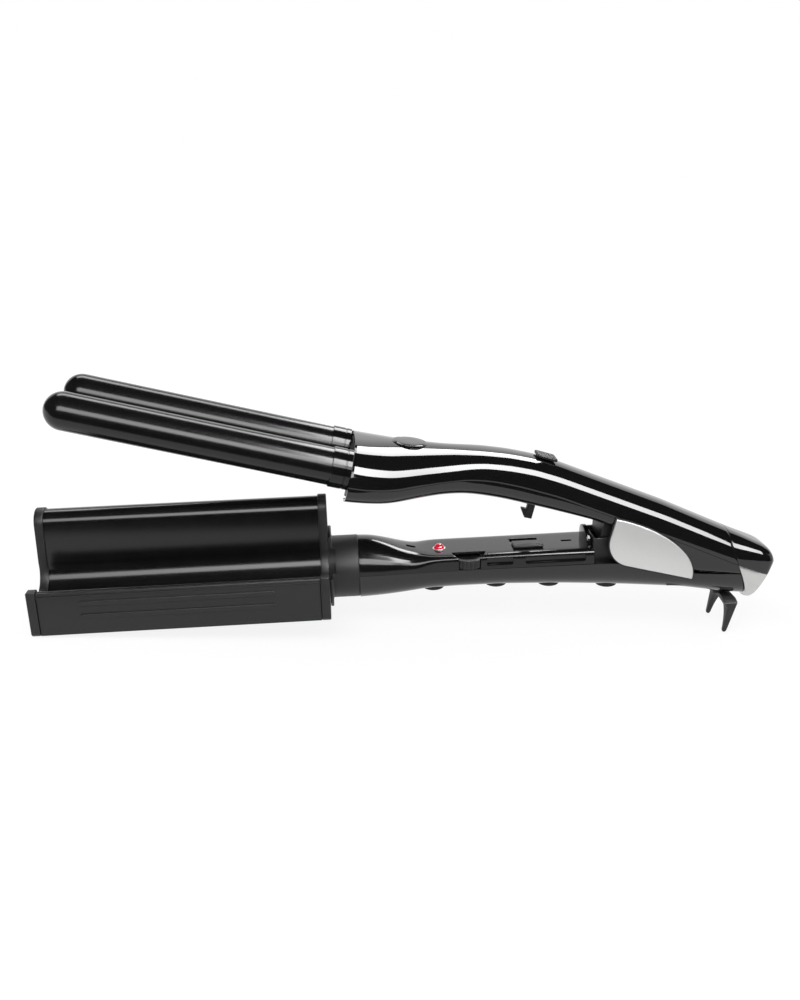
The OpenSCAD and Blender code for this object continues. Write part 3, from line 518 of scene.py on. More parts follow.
def between(section, angles, starts, ends, shares):
    """Rows of points on a section at shares of the way from the starts to the ends."""
    return [[(s + (e - s) * u, *section(s + (e - s) * u, a))
             for a, s, e in zip(angles, starts, ends)] for u in shares]


def run_to(start, section, lines, gap, steps, angles):
    """Rows of points along an arm from start to the line of the tail cap."""
    return between(section, angles, [start] * len(angles), meet(section, lines, gap, angles),
                   spread(0, 1, steps))


# How square the sections are along the arms, as powers for oval
COVER_TOP_POWER = [(150, 2.9), (160, 2.6), (172, 2.1), (198, 2.1), (212, 2.4), (220, 2.5)]
COVER_SIDE_POWER = [(150, 2.3), (160, 2.2), (172, 2.2), (202, 2.1), (218, 2.5)]
BASE_POWER = [(318, 3), (342, 8)]
TAIL_POWER = [(362, 2.5), (370, 3), (378, 3.6), (388, 3.6)]
FACE_POWER = [(176, 2.1), (196, 3), (206, 8)]


def cover_section(x, angle):
    seam = line(UPPER_SEAM, x)
    return oval(line(UPPER_W, x), line(UPPER_TOP, x) - seam, seam, line(COVER_TOP_POWER, x), angle,
                line(COVER_SIDE_POWER, x))


def base_section(x, angle):
    seam = line(UPPER_SEAM, x) - 0.12
    return oval(line(UPPER_W, x), seam - line(UPPER_BOTTOM, x), seam,
                line(BASE_POWER, x), angle)


def shell_section(x, angle):
    seam = line(LOWER_SEAM, x)
    return oval(line(LOWER_W, x), seam - line(LOWER_BOTTOM, x), seam, 2.4, angle)


def face_section(x, angle):
    seam = line(LOWER_SEAM, x) + 0.12
    return oval(line(LOWER_W, x), line(LOWER_TOP, x) - seam, seam, line(FACE_POWER, x), angle)


def working_edge(sink, half_width, wall_top, lip=1.0):
    """The jaw's top outline from the near wall over the valleys and the ridge to the far wall."""
    radius, crown = 11.2 + sink, 7.8 - sink
    middle_y, middle_z, crown_z = 20.5, 26.0, 47.2

    def flank(z):
        foot = 9.47 - sink
        return foot + (crown - foot) * (z - (22.5 - sink)) / (crown_z - (22.5 - sink))

    rise = math.asin((wall_top - middle_z) / radius)
    valley = []
    for t in spread(math.pi - rise, 2 * math.pi + 0.2, 48):
        y, z = -middle_y + radius * math.cos(t), middle_z + radius * math.sin(t)
        if y > -flank(z) and z > 20:
            break
        valley.append((y, z))
    lean = math.atan2(flank(40) - flank(46), 6)
    ridge = arc(0, crown_z, crown, 180 - math.degrees(lean), 90, 16)
    a, b, c = Vector((valley[0][0] - lip, wall_top)), Vector(valley[0]), Vector(valley[2])
    rim = [tuple(a * (1 - t) ** 2 + b * 2 * t * (1 - t) + c * t * t) for t in spread(0, 1, 6)]
    left = [(-half_width, wall_top)] + rim + valley[3:] + ridge
    return left + [(-y, z) for y, z in reversed(left[:-1])]


# ---- settings ----

class WaverSizes(bpy.types.PropertyGroup):
    barrel_diameter: bpy.props.FloatProperty(
        name="Barrel diameter", description="Outside diameter of a barrel", default=0.019,
        min=0.017, max=0.0195, unit="LENGTH")
    barrel_length: bpy.props.FloatProperty(
        name="Barrel length", description="From the centre of the domed tip to the collar",
        default=0.130, min=0.126, max=0.130, unit="LENGTH")
    barrel_spacing: bpy.props.FloatProperty(
        name="Barrel spacing", description="Distance between the barrels' axes", default=0.041,
        min=0.040, max=0.042, unit="LENGTH")
    plate_thickness: bpy.props.FloatProperty(
        name="Plate thickness", description="Sheet of the wave plate", default=0.002,
        min=0.0016, max=0.0022, unit="LENGTH")
    dial_radius: bpy.props.FloatProperty(
        name="Dial radius", description="Radius of the temperature dial", default=0.0086,
        min=0.008, max=0.0088, unit="LENGTH")
    dial_notches: bpy.props.IntProperty(
        name="Dial notches", description="Finger notches round the dial", default=24, min=12,
        max=30)
    side_plate_bevel: bpy.props.FloatProperty(
        name="Side plate edge", description="Rounding of a side plate's edge", default=0.0004,
        min=0.0002, max=0.0006, unit="LENGTH")


class WaverColours(bpy.types.PropertyGroup):
    handle: bpy.props.FloatVectorProperty(
        name="Handle", description="Polished handle shells", default=linear("#141415")[:3],
        min=0, max=1, subtype="COLOR")
    silver: bpy.props.FloatVectorProperty(
        name="Silver", description="Side plates and lamp ring", default=linear("#c9c9c8")[:3],
        min=0, max=1, subtype="COLOR")
    floor: bpy.props.FloatVectorProperty(
        name="Floor", description="Studio floor", default=linear("#fafafa")[:3],
        min=0, max=1, subtype="COLOR")


def sizes():
    return bpy.context.scene.waver_sizes


def colours():
    return bpy.context.scene.waver_colours


def mm(length):
    return length * 1000


# ---- upper arm ----

class WAVER_OT_barrels(bpy.types.Operator):
    """Two coated barrels with domed tips, and the ring at the root of each"""
    bl_idname = "waver.barrels"
    bl_label = "Barrels"

    def execute(self, context):
        radius = mm(sizes().barrel_diameter) / 2
        tip = COLLAR_X - mm(sizes().barrel_length)
        inner = radius - 1.2
        root = [(COLLAR_X, radius), (SHELL_FRONT, radius), (SHELL_FRONT, inner)]
        y = mm(sizes().barrel_spacing) / 2
        tube = turned(arc(tip, 0, radius, 180, 90, 24) + root + arc(tip, 0, inner, 90, 180, 10),
                      "X", (0, -y, BARREL_Z), 128)
        # the ring's steps as (from its front, from the barrel's face)
        steps = [(0, -0.2), (0, 0.4), (0.3, 0.7), (6.6, 0.7), (6.8, 0.45), (7.2, 0.45), (7.4, 0.7),
                 (9.7, 0.7), (10, 0.4), (10, -0.2)]
        ring = turned([(COLLAR_X + x, radius + out) for x, out in steps], "X",
                      (0, -y, BARREL_Z), 128)
        for side, shift in (("near", 0), ("far", 2 * y)):
            hand_over(copy_of(tube, (0, shift, 0)), f"{side}_barrel", "upper_arm",
                      baked_coating(), [f"{side}_barrel_tube"])
            hand_over(copy_of(ring, (0, shift, 0)), f"{side}_barrel_ring", "upper_arm",
                      collar_black(), [f"{side}_barrel_collar"])
        bpy.data.objects.remove(tube)
        bpy.data.objects.remove(ring)
        return {"FINISHED"}


class WAVER_OT_upper_handle(bpy.types.Operator):
    """Polished cover and base of the upper handle, with the tunnel for the lower neck"""
    bl_idname = "waver.upper_handle"
    bl_label = "Upper handle"

    def execute(self, context):
        rows = run_to(SHELL_FRONT, cover_section, TAIL_LINE, 0.1, 150, spread(0, 180, 72))
        cover = thicken(facing(skin(rows), (0, 0, 1)), SHELL_WALL)
        ease(cover, 0.25)
        hand_over(cover, "handle_cover", "upper_arm", piano_black(),
                  ["upper_cover"], 40)

        rows = run_to(SHELL_FRONT, base_section, TAIL_LINE, 0.1, 130, spread(180, 360, 56))
        base = thicken(facing(skin(rows), (0, 0, -1)), THIN_WALL)
        tunnel, room = [], 1.4
        for x in spread(SHELL_FRONT - 1, SHELL_FRONT + 64.5, 40):
            half, top = line(LOWER_W, x) + room, line(LOWER_TOP, x) + room
            roof = [oval(half, top - NECK_Z, NECK_Z, line(FACE_POWER, x), a)
                    for a in spread(180, 0, 40)]
            tunnel.append([(x, *p) for p in [(-half, -20), *roof, (half, -20), (-half, -20)]])
        # the neck's tunnel, the opening under the guards and lugs, the slot of the lock, the room
        # for the fin, and a dimple over the lamp
        cut(base, capped(weld(skin(tunnel))), block(288.1, -13.2, 0, 100, 26.4, 26),
            block(241.4, 2.4, 17, 14.5, 3.6, 16), block(280, -10.2, 18, 10, 20.4, 14),
            rod("Z", (*LAMP, 23), 3.8, 6, 48))
        hand_over(base, "handle_base", "upper_arm", piano_black(), ["upper_base"],
                  40)
        return {"FINISHED"}


class WAVER_OT_top_fittings(bpy.types.Operator):
    """Round inlay on the cover and the slide button that locks the handles"""
    bl_idname = "waver.top_fittings"
    bl_label = "Top fittings"

    def execute(self, context):
        disc = turned([(0.2, 0), (0.2, 9), (1.15, 9), (1.35, 8.9), (1.45, 8.7), (1.35, 8.35),
                       (1.4, 8.2), (1.65, 7.9), (1.75, 7), (1.8, 4), (1.8, 0)], "Z", (0, 0, 0))
        placed(disc, Matrix.Translation((DISC_X, 0, line(UPPER_TOP, DISC_X) - 1))
               @ Matrix.Rotation(math.radians(-7), 4, "Y"))
        hand_over(disc, "cover_inlay", "upper_arm", piano_black(), ["top_disc"])

        top = line(UPPER_TOP, 252.6)
        # the button with its four finger grooves lies along the cover, and the hook stands upright
        button = block(0, -5, 0, 11, 10, 1.8)
        ease(button, 0.7, 4)
        cut(button, *[rod("Y", (1.9 + i * 2.4, 0, 2), 0.5, 8, 24) for i in range(4)])
        ease(button, 0.08, 2, 40)
        placed(button, Matrix.Translation((246.2, 0, top + 0.75))
               @ Matrix.Rotation(math.radians(3), 4, "Y"))
        stem = block(250.6, 2.7, 13.9, 4, 3, top + 1 - 13.9)
        hook = plate([(251.6, 13.9), (250.6, 13.9), (247.7, 18.1), (247.7, 18.8), (251.6, 18.8)],
                     "Y", 2.7, 3)
        bool_with(stem, hook, "UNION")
        ease(stem, 0.2, 2, 40)
        hand_over(joined(button, stem), "lock_button", "lock", textured_plastic(),
                  ["lock_slider"])
        return {"FINISHED"}


class WAVER_OT_side_plates(bpy.types.Operator):
    """Silver drop-shaped plate over each end of the hinge"""
    bl_idname = "waver.side_plates"
    bl_label = "Side plates"

    def execute(self, context):
        def drop(grow):
            """The plate's outline: one long curve over two straight edges and a rounded corner."""
            top = arc(293, 5, 50 + grow, 0, 90, 24, 24 + grow)
            foot = arc(306, 18, 13 + grow, 180, 270, 16)
            if grow:
                top, foot = top + [(293 - grow, 29 + grow)], foot + [(343 + grow, 5 - grow)]
            return top + foot

        for side, start, seat in (("near", -17.3, -16.7), ("far", 15.95, 15.9)):
            made = plate(drop(0), "Y", start, 1.35)
            ease(made, mm(sizes().side_plate_bevel), 3, 30)
            hand_over(made, f"{side}_side_cover", "upper_arm", silver_paint(),
                      [f"{side}_side_plate"])
            # a dark sheet 0.6 mm wider than the plate sits behind it: painted shadow for the gap
            # round the plate
            made = ease(plate(drop(0.6), "Y", seat, 0.8), 0.1, 2, 30)
            hand_over(made, f"{side}_side_shadow_rim", "upper_arm", nub_rubber())
        return {"FINISHED"}


class WAVER_OT_tail(bpy.types.Operator):
    """Polished tail cap with its silver trim underneath and the rubber gland for the lead"""
    bl_idname = "waver.tail"
    bl_label = "Tail"

    def execute(self, context):
        def section(x, angle):
            """Point of the cap, with shorter blends than the handle's, as its curves are tight."""
            seam = line(TAIL_SEAM, x, 2)
            edge = TAIL_TOP if angle <= 180 else TAIL_BOTTOM
            return oval(line(TAIL_W, x, 1.4), abs(line(edge, x, 1.4) - seam), seam,
                        line(TAIL_POWER, x), angle)

        angles = spread(0, 360, 120)
        # close rows at the edge keep its rounding narrow, and the last fifth closes to the end
        shares = [0, 0.014] + spread(0, 0.8, 20)[1:-1]
        shares += [0.8 + 0.2 * math.sin(t) for t in spread(0, math.pi / 2, 20)]
        body = capped(weld(skin(between(section, angles, meet(section, TAIL_LINE, -0.1, angles),
                                        [TAIL_TIP_X - 0.25] * len(angles), shares))))
        trim = copy_of(body)
        # one sloping cut parts the polished cap from the silver trim under it
        point, tilt = Vector((372, 0, 16.4)), Vector((0.135, 0, 1)).normalized()
        for made, up in ((body, False), (trim, True)):
            outward(edit(made, bpy.ops.mesh.bisect, plane_co=point, plane_no=tilt, use_fill=True,
                         clear_inner=not up, clear_outer=up))
        ease(body, 0.15, 2, 60)
        cut(trim, rod("X", (392, 0, GLAND_Z), 5.4, 30), rod("X", (371.5, 0, GLAND_Z), 4.4, 13, 48))
        ease(trim, 0.15, 2, 60)
        hand_over(body, "tail_cover", "upper_arm", piano_black(), ["tail_cap"], 40)
        hand_over(trim, "tail_under_trim", "upper_arm", bright_silver(), ["tail_trim"],
                  40)
        gland = turned([(377, 3.6), (385, 3.6), (385.4, 3.9), (385.4, 5.0), (385, 5.4), (377, 5.4)],
                       "X", (0, 0, GLAND_Z), 64)
        hand_over(gland, "lead_gland", "upper_arm", nub_rubber(), ["cord_gland"])
        return {"FINISHED"}


# ---- lower arm ----

class WAVER_OT_wave_plate(bpy.types.Operator):
    """Coated plate with two valleys and a tall ridge"""
    bl_idname = "waver.wave_plate"
    bl_label = "Wave plate"

    def execute(self, context):
        edge = working_edge(0.8, PLATE_HALF, PLATE_TOP)
        left = [(-PLATE_HALF, 12), (-PLATE_HALF, 17)]
        left += arc(0.8 - PLATE_HALF, PLATE_TOP - 0.8, 0.8, 180, 90, 5)
        outline = left + edge[1:-1] + [(-y, z) for y, z in reversed(left)]
        rows = [[(x, y, z) for y, z in outline]
                for x in spread(JAW_START, JAW_START + JAW_RUN, 12)]
        sheet = thicken(facing(skin(rows), (0, 0, 1)), mm(sizes().plate_thickness))
        hand_over(sheet, "coated_plate", "lower_arm", baked_coating(),
                  ["wave_plate"], 40)
        return {"FINISHED"}


class WAVER_OT_jaw(bpy.types.Operator):
    """Ribbed housing under the plate, its end caps, and the collar of the neck"""
    bl_idname = "waver.jaw"
    bl_label = "Jaw housing"

    def execute(self, context):
        tray = block(JAW_START, -36.4, 0, JAW_RUN, 72.8, PLATE_TOP)
        cut(tray, block(4, -34.2, 2.2, 141, 68.4, 30))
        ease(tray, 0.5, 3)
        parts = []
        for side in (-1, 1):
            for z in (9.6, 16.6):
                stadium = arc(26, z, 1.3, 90, 270, 16) + arc(120, z, 1.3, -90, 90, 16)
                rib = plate(stadium, "Y", -37 if side < 0 else 36.2, 0.8)
                parts.append(ease(rib, 0.3, 3))
            trim = block(JAW_START, -36.8 if side < 0 else 36.3, 20.5, JAW_RUN, 0.5, 0.7)
            parts.append(ease(trim, 0.15))
        for x in BOSS_X:
            for y in BOSS_Y:
                parts.append(ease(rod("Z", (x, y, 6.1), 3, 7.8, 48), 0.3))
        hand_over(joined(tray, *parts), "ribbed_housing", "lower_arm",
                  textured_plastic(), ["jaw_housing"])

        edge = working_edge(0, CAP_HALF, WALL_TOP, 0.6)
        outline = [(CAP_HALF, 0), (CAP_HALF, WALL_TOP)] + edge[-2:0:-1]
        outline += [(-CAP_HALF, WALL_TOP), (-CAP_HALF, 0)]
        chamfered = []
        for y, z in outline:
            if z == 0:
                s = 1 if y > 0 else -1
                chamfered += [(y - s * 1.2, 0), (y, 1.2)][::s]
            else:
                chamfered.append((y, z))
        for name, x, plug_x in (("front", 0, 4.49), ("rear", 144, 141.0)):
            cap = plate(chamfered, "X", x, 4.5)
            ease(cap, 0.45, 3)
            if name == "rear":
                cut(cap, rod("X", (146, 5, 7), 2, 10, 32))
            plug = block(plug_x, -34.05, 2.35, 3, 68.1, 7.25)
            cut(plug, block(plug_x - 1, -32.2, 4.2, 5, 64.4, 10))
            hand_over(joined(cap, plug), f"{name}_cap", "lower_arm",
                      textured_plastic(), [f"{name}_end_cap"])

        # the collar's ring, with room for the barrels and for the open front of the cover
        collar = turned([(148.5, 12.5), (148.5, 21.6), (148.9, 22), (149.7, 22), (150.1, 21.6),
                         (150.1, 17.0), (150.6, 16.5), (163.7, 16.5), (COLLAR_END, 16.1),
                         (COLLAR_END, 12.5)], "X", (0, 0, NECK_Z), 128)
        for s in (-1, 1):
            cut(collar, rod("X", (150, s * 20.5, BARREL_Z), 11.2, 4, 96))
            cut(collar, block(148, s * 20.5 - 11.2, BARREL_Z, 4, 22.4, 40))
        cut(collar, block(147, -40, -20, 20, 80, 17.7))
        ease(collar, 0.15, 2, 60)
        hand_over(collar, "neck_ring", "lower_arm", textured_plastic(),
                  ["neck_collar"])
        return {"FINISHED"}


class WAVER_OT_lower_handle(bpy.types.Operator):
    """Underside shell and inner cover of the lower handle, with the arched fin at its end"""
    bl_idname = "waver.lower_handle"
    bl_label = "Lower handle"

    def execute(self, context):
        rows = run_to(COLLAR_END, shell_section, OPEN_TAIL_LINE, 0.3, 130, spread(180, 360, 56))
        shell = thicken(facing(skin(rows), (0, 0, -1)), SHELL_WALL)
        cut(shell, block(352.3, -4.8, -16, 13.7, 9.6, 12.5))
        ease(shell, 0.5, 3)
        bosses = []
        # lugs for the hinge pin, each on its foot, and the two cheeks that hold the stand's pin
        for s in (-1, 1):
            lug = rod("Y", (HINGE[0], s * 10.5, HINGE[1]), 6.3, 4)
            bool_with(lug, block(329, s * 10.5 - 2, -2.2, 10, 4, 13), "UNION")
            cut(lug, rod("Y", (HINGE[0], s * 10.5, HINGE[1]), 3.9, 6))
            bosses.append(ease(lug, 0.3))
            bosses.append(ease(block(355, s * 6.1 - 1.3, -8.6, 11, 2.6, 6), 0.3))
        hand_over(joined(shell, *bosses), "underside_shell", "lower_arm",
                  piano_black(), ["lower_shell"], 40)

        rows = [[(x, *face_section(x, a)) for a in spread(0, 180, 64)]
                for x in spread(COLLAR_END, COVER_END, 90)]
        face = thicken(facing(skin(rows), (0, 0, 1)), THIN_WALL)
        # holes for the lens, the switch, the lock's hook and the dial, with the dial's finger cut,
        # then two recesses in the side wall
        cut(face, rod("Z", (*LAMP, 21), 2.8, 10, 48),
            block(250.9, -6.2, 16, 10.8, 3.6, 10), block(246, 1.7, 16, 15.2, 5, 10),
            rod("Z", (*DIAL, 17.3), 9.1, 5.4, 96),
            bool_with(rod("Z", (*DIAL, 21), 9.1, 12, 96), block(210, -20, 14, 24, 11, 14),
                      "INTERSECT"),
            block(231, -17, 16.6, 14, 3, 3.4), block(251.5, -17, 16.6, 32, 2.6, 3))
        ease(face, 0.2)
        cut(face, block(273.5, -0.9, 19, 5.6, 2.2, 6), block(189.8, -1.6, 20, 4.8, 2.6, 8))
        arch = plate([(-9, 21), (9, 21)] + arc(0, 21.5, 9, 0, 180, 32), "X", 285.6, 2.4)
        for vertex in arch.data.vertices:
            vertex.co.x -= (vertex.co.z - 22) * math.tan(math.radians(5))
        ease(arch, 0.4, 3)
        hand_over(joined(face, arch), "inner_face", "lower_arm", satin_face(),
                  ["inner_cover"], 40)
        return {"FINISHED"}


class WAVER_OT_controls(bpy.types.Operator):
    """Power switch, temperature dial and indicator lens"""
    bl_idname = "waver.controls"
    bl_label = "Controls"

    def execute(self, context):
        knob = block(246.3, -8.6, 22.2, 16, 8.4, 1.4)
        ease(knob, 0.5, 3)
        cut(knob, rod("X", (254.3, -6.4, 23.7), 0.45, 13, 24))
        stem = block(251.3, -5.9, 16.3, 6, 3, 6)
        hand_over(joined(knob, ease(stem, 0.2)), "switch_knob", "power_switch",
                  textured_plastic(), ["power_switch_knob"])

        radius = mm(sizes().dial_radius)
        count = sizes().dial_notches
        rim = []
        for t in spread(0, 2 * math.pi, count * 6)[:-1]:
            edge = radius - max(0.0, math.cos(t * count)) ** 2 * NOTCH
            rim.append((edge * math.cos(t), edge * math.sin(t)))
        dial = plate(rim, "Z", 15, 4.6)
        ease(dial, 0.25)
        cut(dial, rod("Z", (0, 0, 19.8), radius - 2.6, 2, 96))
        mark = ease(block(radius - 2.4, -0.3, 19.4, 1.6, 0.6, 0.25), 0.08, 1)
        placed(joined(dial, mark), Matrix.Translation((*DIAL, 0)))
        hand_over(dial, "dial_wheel", "dial", textured_plastic(),
                  ["temperature_dial"])

        lens = turned([(10.6, 0), (10.6, 1.6), (18.2, 1.6), (18.2, 3.8), (19.3, 3.8), (19.3, 2.72)]
                      + arc(22.3, 0, 2.5, 90, 0, 16, 2.7), "Z", (*LAMP, 0), 64)
        hand_over(lens, "lamp_lens", "lower_arm", lens_red(), ["indicator_lens"])
        bezel = turned([(21.6, 2.72), (22.28, 2.72), (22.42, 2.9), (22.42, 3.25), (22.2, 3.5),
                        (21.6, 3.5)], "Z", (*LAMP, 0), 64)
        hand_over(bezel, "lamp_ring", "lower_arm", silver_paint())
        return {"FINISHED"}


class WAVER_OT_guards(bpy.types.Operator):
    """Two nesting boxes round the opening spring, and the spring itself"""
    bl_idname = "waver.guards"
    bl_label = "Spring and guards"

    def execute(self, context):
        lower = block(288.3, -10.6, 8, 20.1, 21.2, 18.5)
        cut(lower, block(289.6, -9.3, 10, 17.5, 18.6, 30),
            rod("Z", (SPRING_FOOT[0], 0, 11), 3.4, 10, 48))
        ease(lower, 0.35, 3)
        foot = ease(block(290.3, -6, 2.4, 16.1, 12, 6.6), 0.3)
        hand_over(joined(lower, foot), "guard_box", "lower_arm",
                  textured_plastic(), ["spring_guard_lower"])
        upper = block(290.1, -9, 14, 13.6, 18, 13)
        cut(upper, block(291.4, -7.7, 10, 11, 15.4, 30))
        ease(upper, 0.3, 3)
        bridge = ease(block(290.1, -13.2, 27, 13.6, 26.4, 2), 0.3)
        hand_over(joined(upper, bridge), "guard_sleeve", "upper_arm",
                  textured_plastic(), ["spring_guard_upper"])

        # the coil stands upright in the world, so its rings are laid before it is tipped back
        turns, height, wire, radius = 8, 29.5, 0.4, 2.4
        count = turns * 28
        section = arc(radius, 0, wire, 0, 360, 10)
        rows = [[(r * math.cos(a), r * math.sin(a), z + up) for r, up in section]
                for a, z in zip(spread(0, 2 * math.pi * turns, count),
                                spread(wire, height - wire, count))]
        coil = capped(weld(skin(rows)))
        placed(coil, Matrix.Translation(SPRING_FOOT) @ Matrix.Rotation(TILT, 4, "Y"))
        hand_over(coil, "push_spring", "lower_arm", turned_steel(), ["opening_spring"])
        foot = LOWER_ARM @ Vector(SPRING_FOOT)
        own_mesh(coil)
        return {"FINISHED"}


class WAVER_OT_underside(bpy.types.Operator):
    """Rubber nubs with their screws, and the fork that the iron stands on"""
    bl_idname = "waver.underside"
    bl_label = "Underside"

    def execute(self, context):
        nubs = []
        for i, x in enumerate(NUB_X):
            z = line(LOWER_BOTTOM, x)
            well = 2.3 if i else 0  # all but the first nub have a screw in a well
            profile = [(z - 1.9, well), (z - 1.9, 5.0), (z - 1.6, 5.6), (z - 1, 6), (z + 1.2, 6),
                       (z + 1.2, 0)]
            if i:
                profile = [(z + 0.1, 0), (z + 0.1, 2.3)] + profile
            nubs.append(turned(profile, "Z", (x, 0, 0), 64))
        hand_over(joined(*nubs), "rubber_nubs", "lower_arm", nub_rubber(), ["grip_nubs"])

        # the fork is its front view, with an arch between the prongs, cut to its side view
        half = 13.08
        front = [(-half, -STAND_DROP), (-half, -14.6), (-half * 0.62, -11.7), (half * 0.62, -11.7),
                 (half, -14.6), (half, -STAND_DROP)]
        arch = arc(0, -STAND_DROP - 0.01, 10.92, 180, 0, 40, 16.6)
        fork = plate(front[::-1] + arch, "X", 352, 26)
        side = [(361.5, -11.7), (367.4, -12), (368.9, -12.8), (369.2, -14.2), (364.08, -30.8),
                (361.92, -30.8), (363.6, -17.7), (361.5, -13.7)]
        bool_with(fork, plate(side, "Y", -20, 40), "INTERSECT")
        ease(fork, 0.3, 3, 40)
        parts = [rod("Y", (STAND_HINGE[0], 0, STAND_HINGE[1]), 2.3, 9, 64),
                 plate([(357.5, -7.6), (361.7, -7.2), (363.9, -12.1), (358.3, -12.1)], "Y", -4.5,
                       9)]
        for part in parts:
            ease(part, 0.25)
        for s in (-1, 1):
            bpy.ops.mesh.primitive_uv_sphere_add(segments=32, ring_count=16, radius=STAND_TIP_R,
                                                 location=(STAND_TIP_X, s * 12, -STAND_DROP))
            parts.append(added())
        hand_over(joined(fork, *parts), "stand_foot", "stand", textured_plastic(),
                  ["stand_fork"])
        return {"FINISHED"}


class WAVER_OT_inner_parts(bpy.types.Operator):
    """Finishes for the parts that stay as the frame has them"""
    bl_idname = "waver.inner_parts"
    bl_label = "Inner parts"

    def execute(self, context):
        finishes = {
            steatite: ["ridge_heater", "near_heater_strip", "far_heater_strip"],
            turned_steel: ["heater_clamp", "shell_screws", "stand_pin", "hinge_pin",
                           "carrier_screws"],
            cast_aluminium: ["heat_shield", "thermal_fuse", "near_heater_core", "far_heater_core"],
            bush_resin: ["hinge_bushes"],
            wire_sleeve: ["lower_wiring", "upper_wiring"],
            textured_plastic: ["barrel_carrier"],
            board_laminate: ["control_board"],
        }
        for made, names in finishes.items():
            for name in names:
                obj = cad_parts[name]
                for spot in obj.material_slots:
                    spot.material = made()
                if not obj.material_slots:
                    obj.data.materials.append(made())
        return {"FINISHED"}


# ---- stage ----

def rays_seen(tree):
    """1 for what the camera, a reflection or a clear piece sees, and 0 for light on the iron."""
    rays = node(tree, "ShaderNodeLightPath")
    seen = node(tree, "ShaderNodeMath", {"operation": "ADD", "use_clamp": True},
                n0=rays.outputs["Is Camera Ray"], n1=rays.outputs["Is Glossy Ray"])
    seen = node(tree, "ShaderNodeMath", {"operation": "ADD", "use_clamp": True},
                n0=seen.outputs[0], n1=rays.outputs["Is Transmission Ray"])
    return seen.outputs[0]


def glow(name, left, right, wide):
    """Light that runs from one strength to another along a card."""
    made, tree, output = new_material(name)
    if tree is None:
        return made
    place = node(tree, "ShaderNodeTexCoord")
    parts = node(tree, "ShaderNodeSeparateXYZ", n0=place.outputs["Object"])
    along = node(tree, "ShaderNodeMapRange", values={"From Min": -wide / 2, "From Max": wide / 2,
                                                     "To Min": left, "To Max": right},
                 Value=parts.outputs[0])
    light = node(tree, "ShaderNodeEmission", Strength=along.outputs[0])
    tree.links.new(light.outputs[0], output.inputs[0])
    return made


def card(name, low, high, x0, x1, strength, end_strength=None, away=1.6):
    """A studio card that only shows in reflections. It spans the angles low to high round the
    iron's length, 0 behind it, 90 above and 180 in front, and x0 to x1 along it, in metres."""
    t = math.radians((low + high) / 2)
    tall = 2 * away * math.tan(math.radians((high - low) / 2))
    bpy.ops.mesh.primitive_plane_add(size=1)
    obj = bpy.context.object
    obj.name = obj.data.name = name
    obj.scale = (x1 - x0, tall, 1)
    bpy.ops.object.transform_apply(scale=True)
    obj.location = ((x0 + x1) / 2, away * math.cos(t), 0.08 + away * math.sin(t))
    obj.rotation_euler = (t + math.pi / 2, 0, 0)
    obj.data.materials.append(glow(name, strength, strength if end_strength is None
                                   else end_strength, x1 - x0))
    for ray in ("camera", "diffuse", "shadow", "transmission", "volume_scatter"):
        setattr(obj, f"visible_{ray}", False)
    return obj


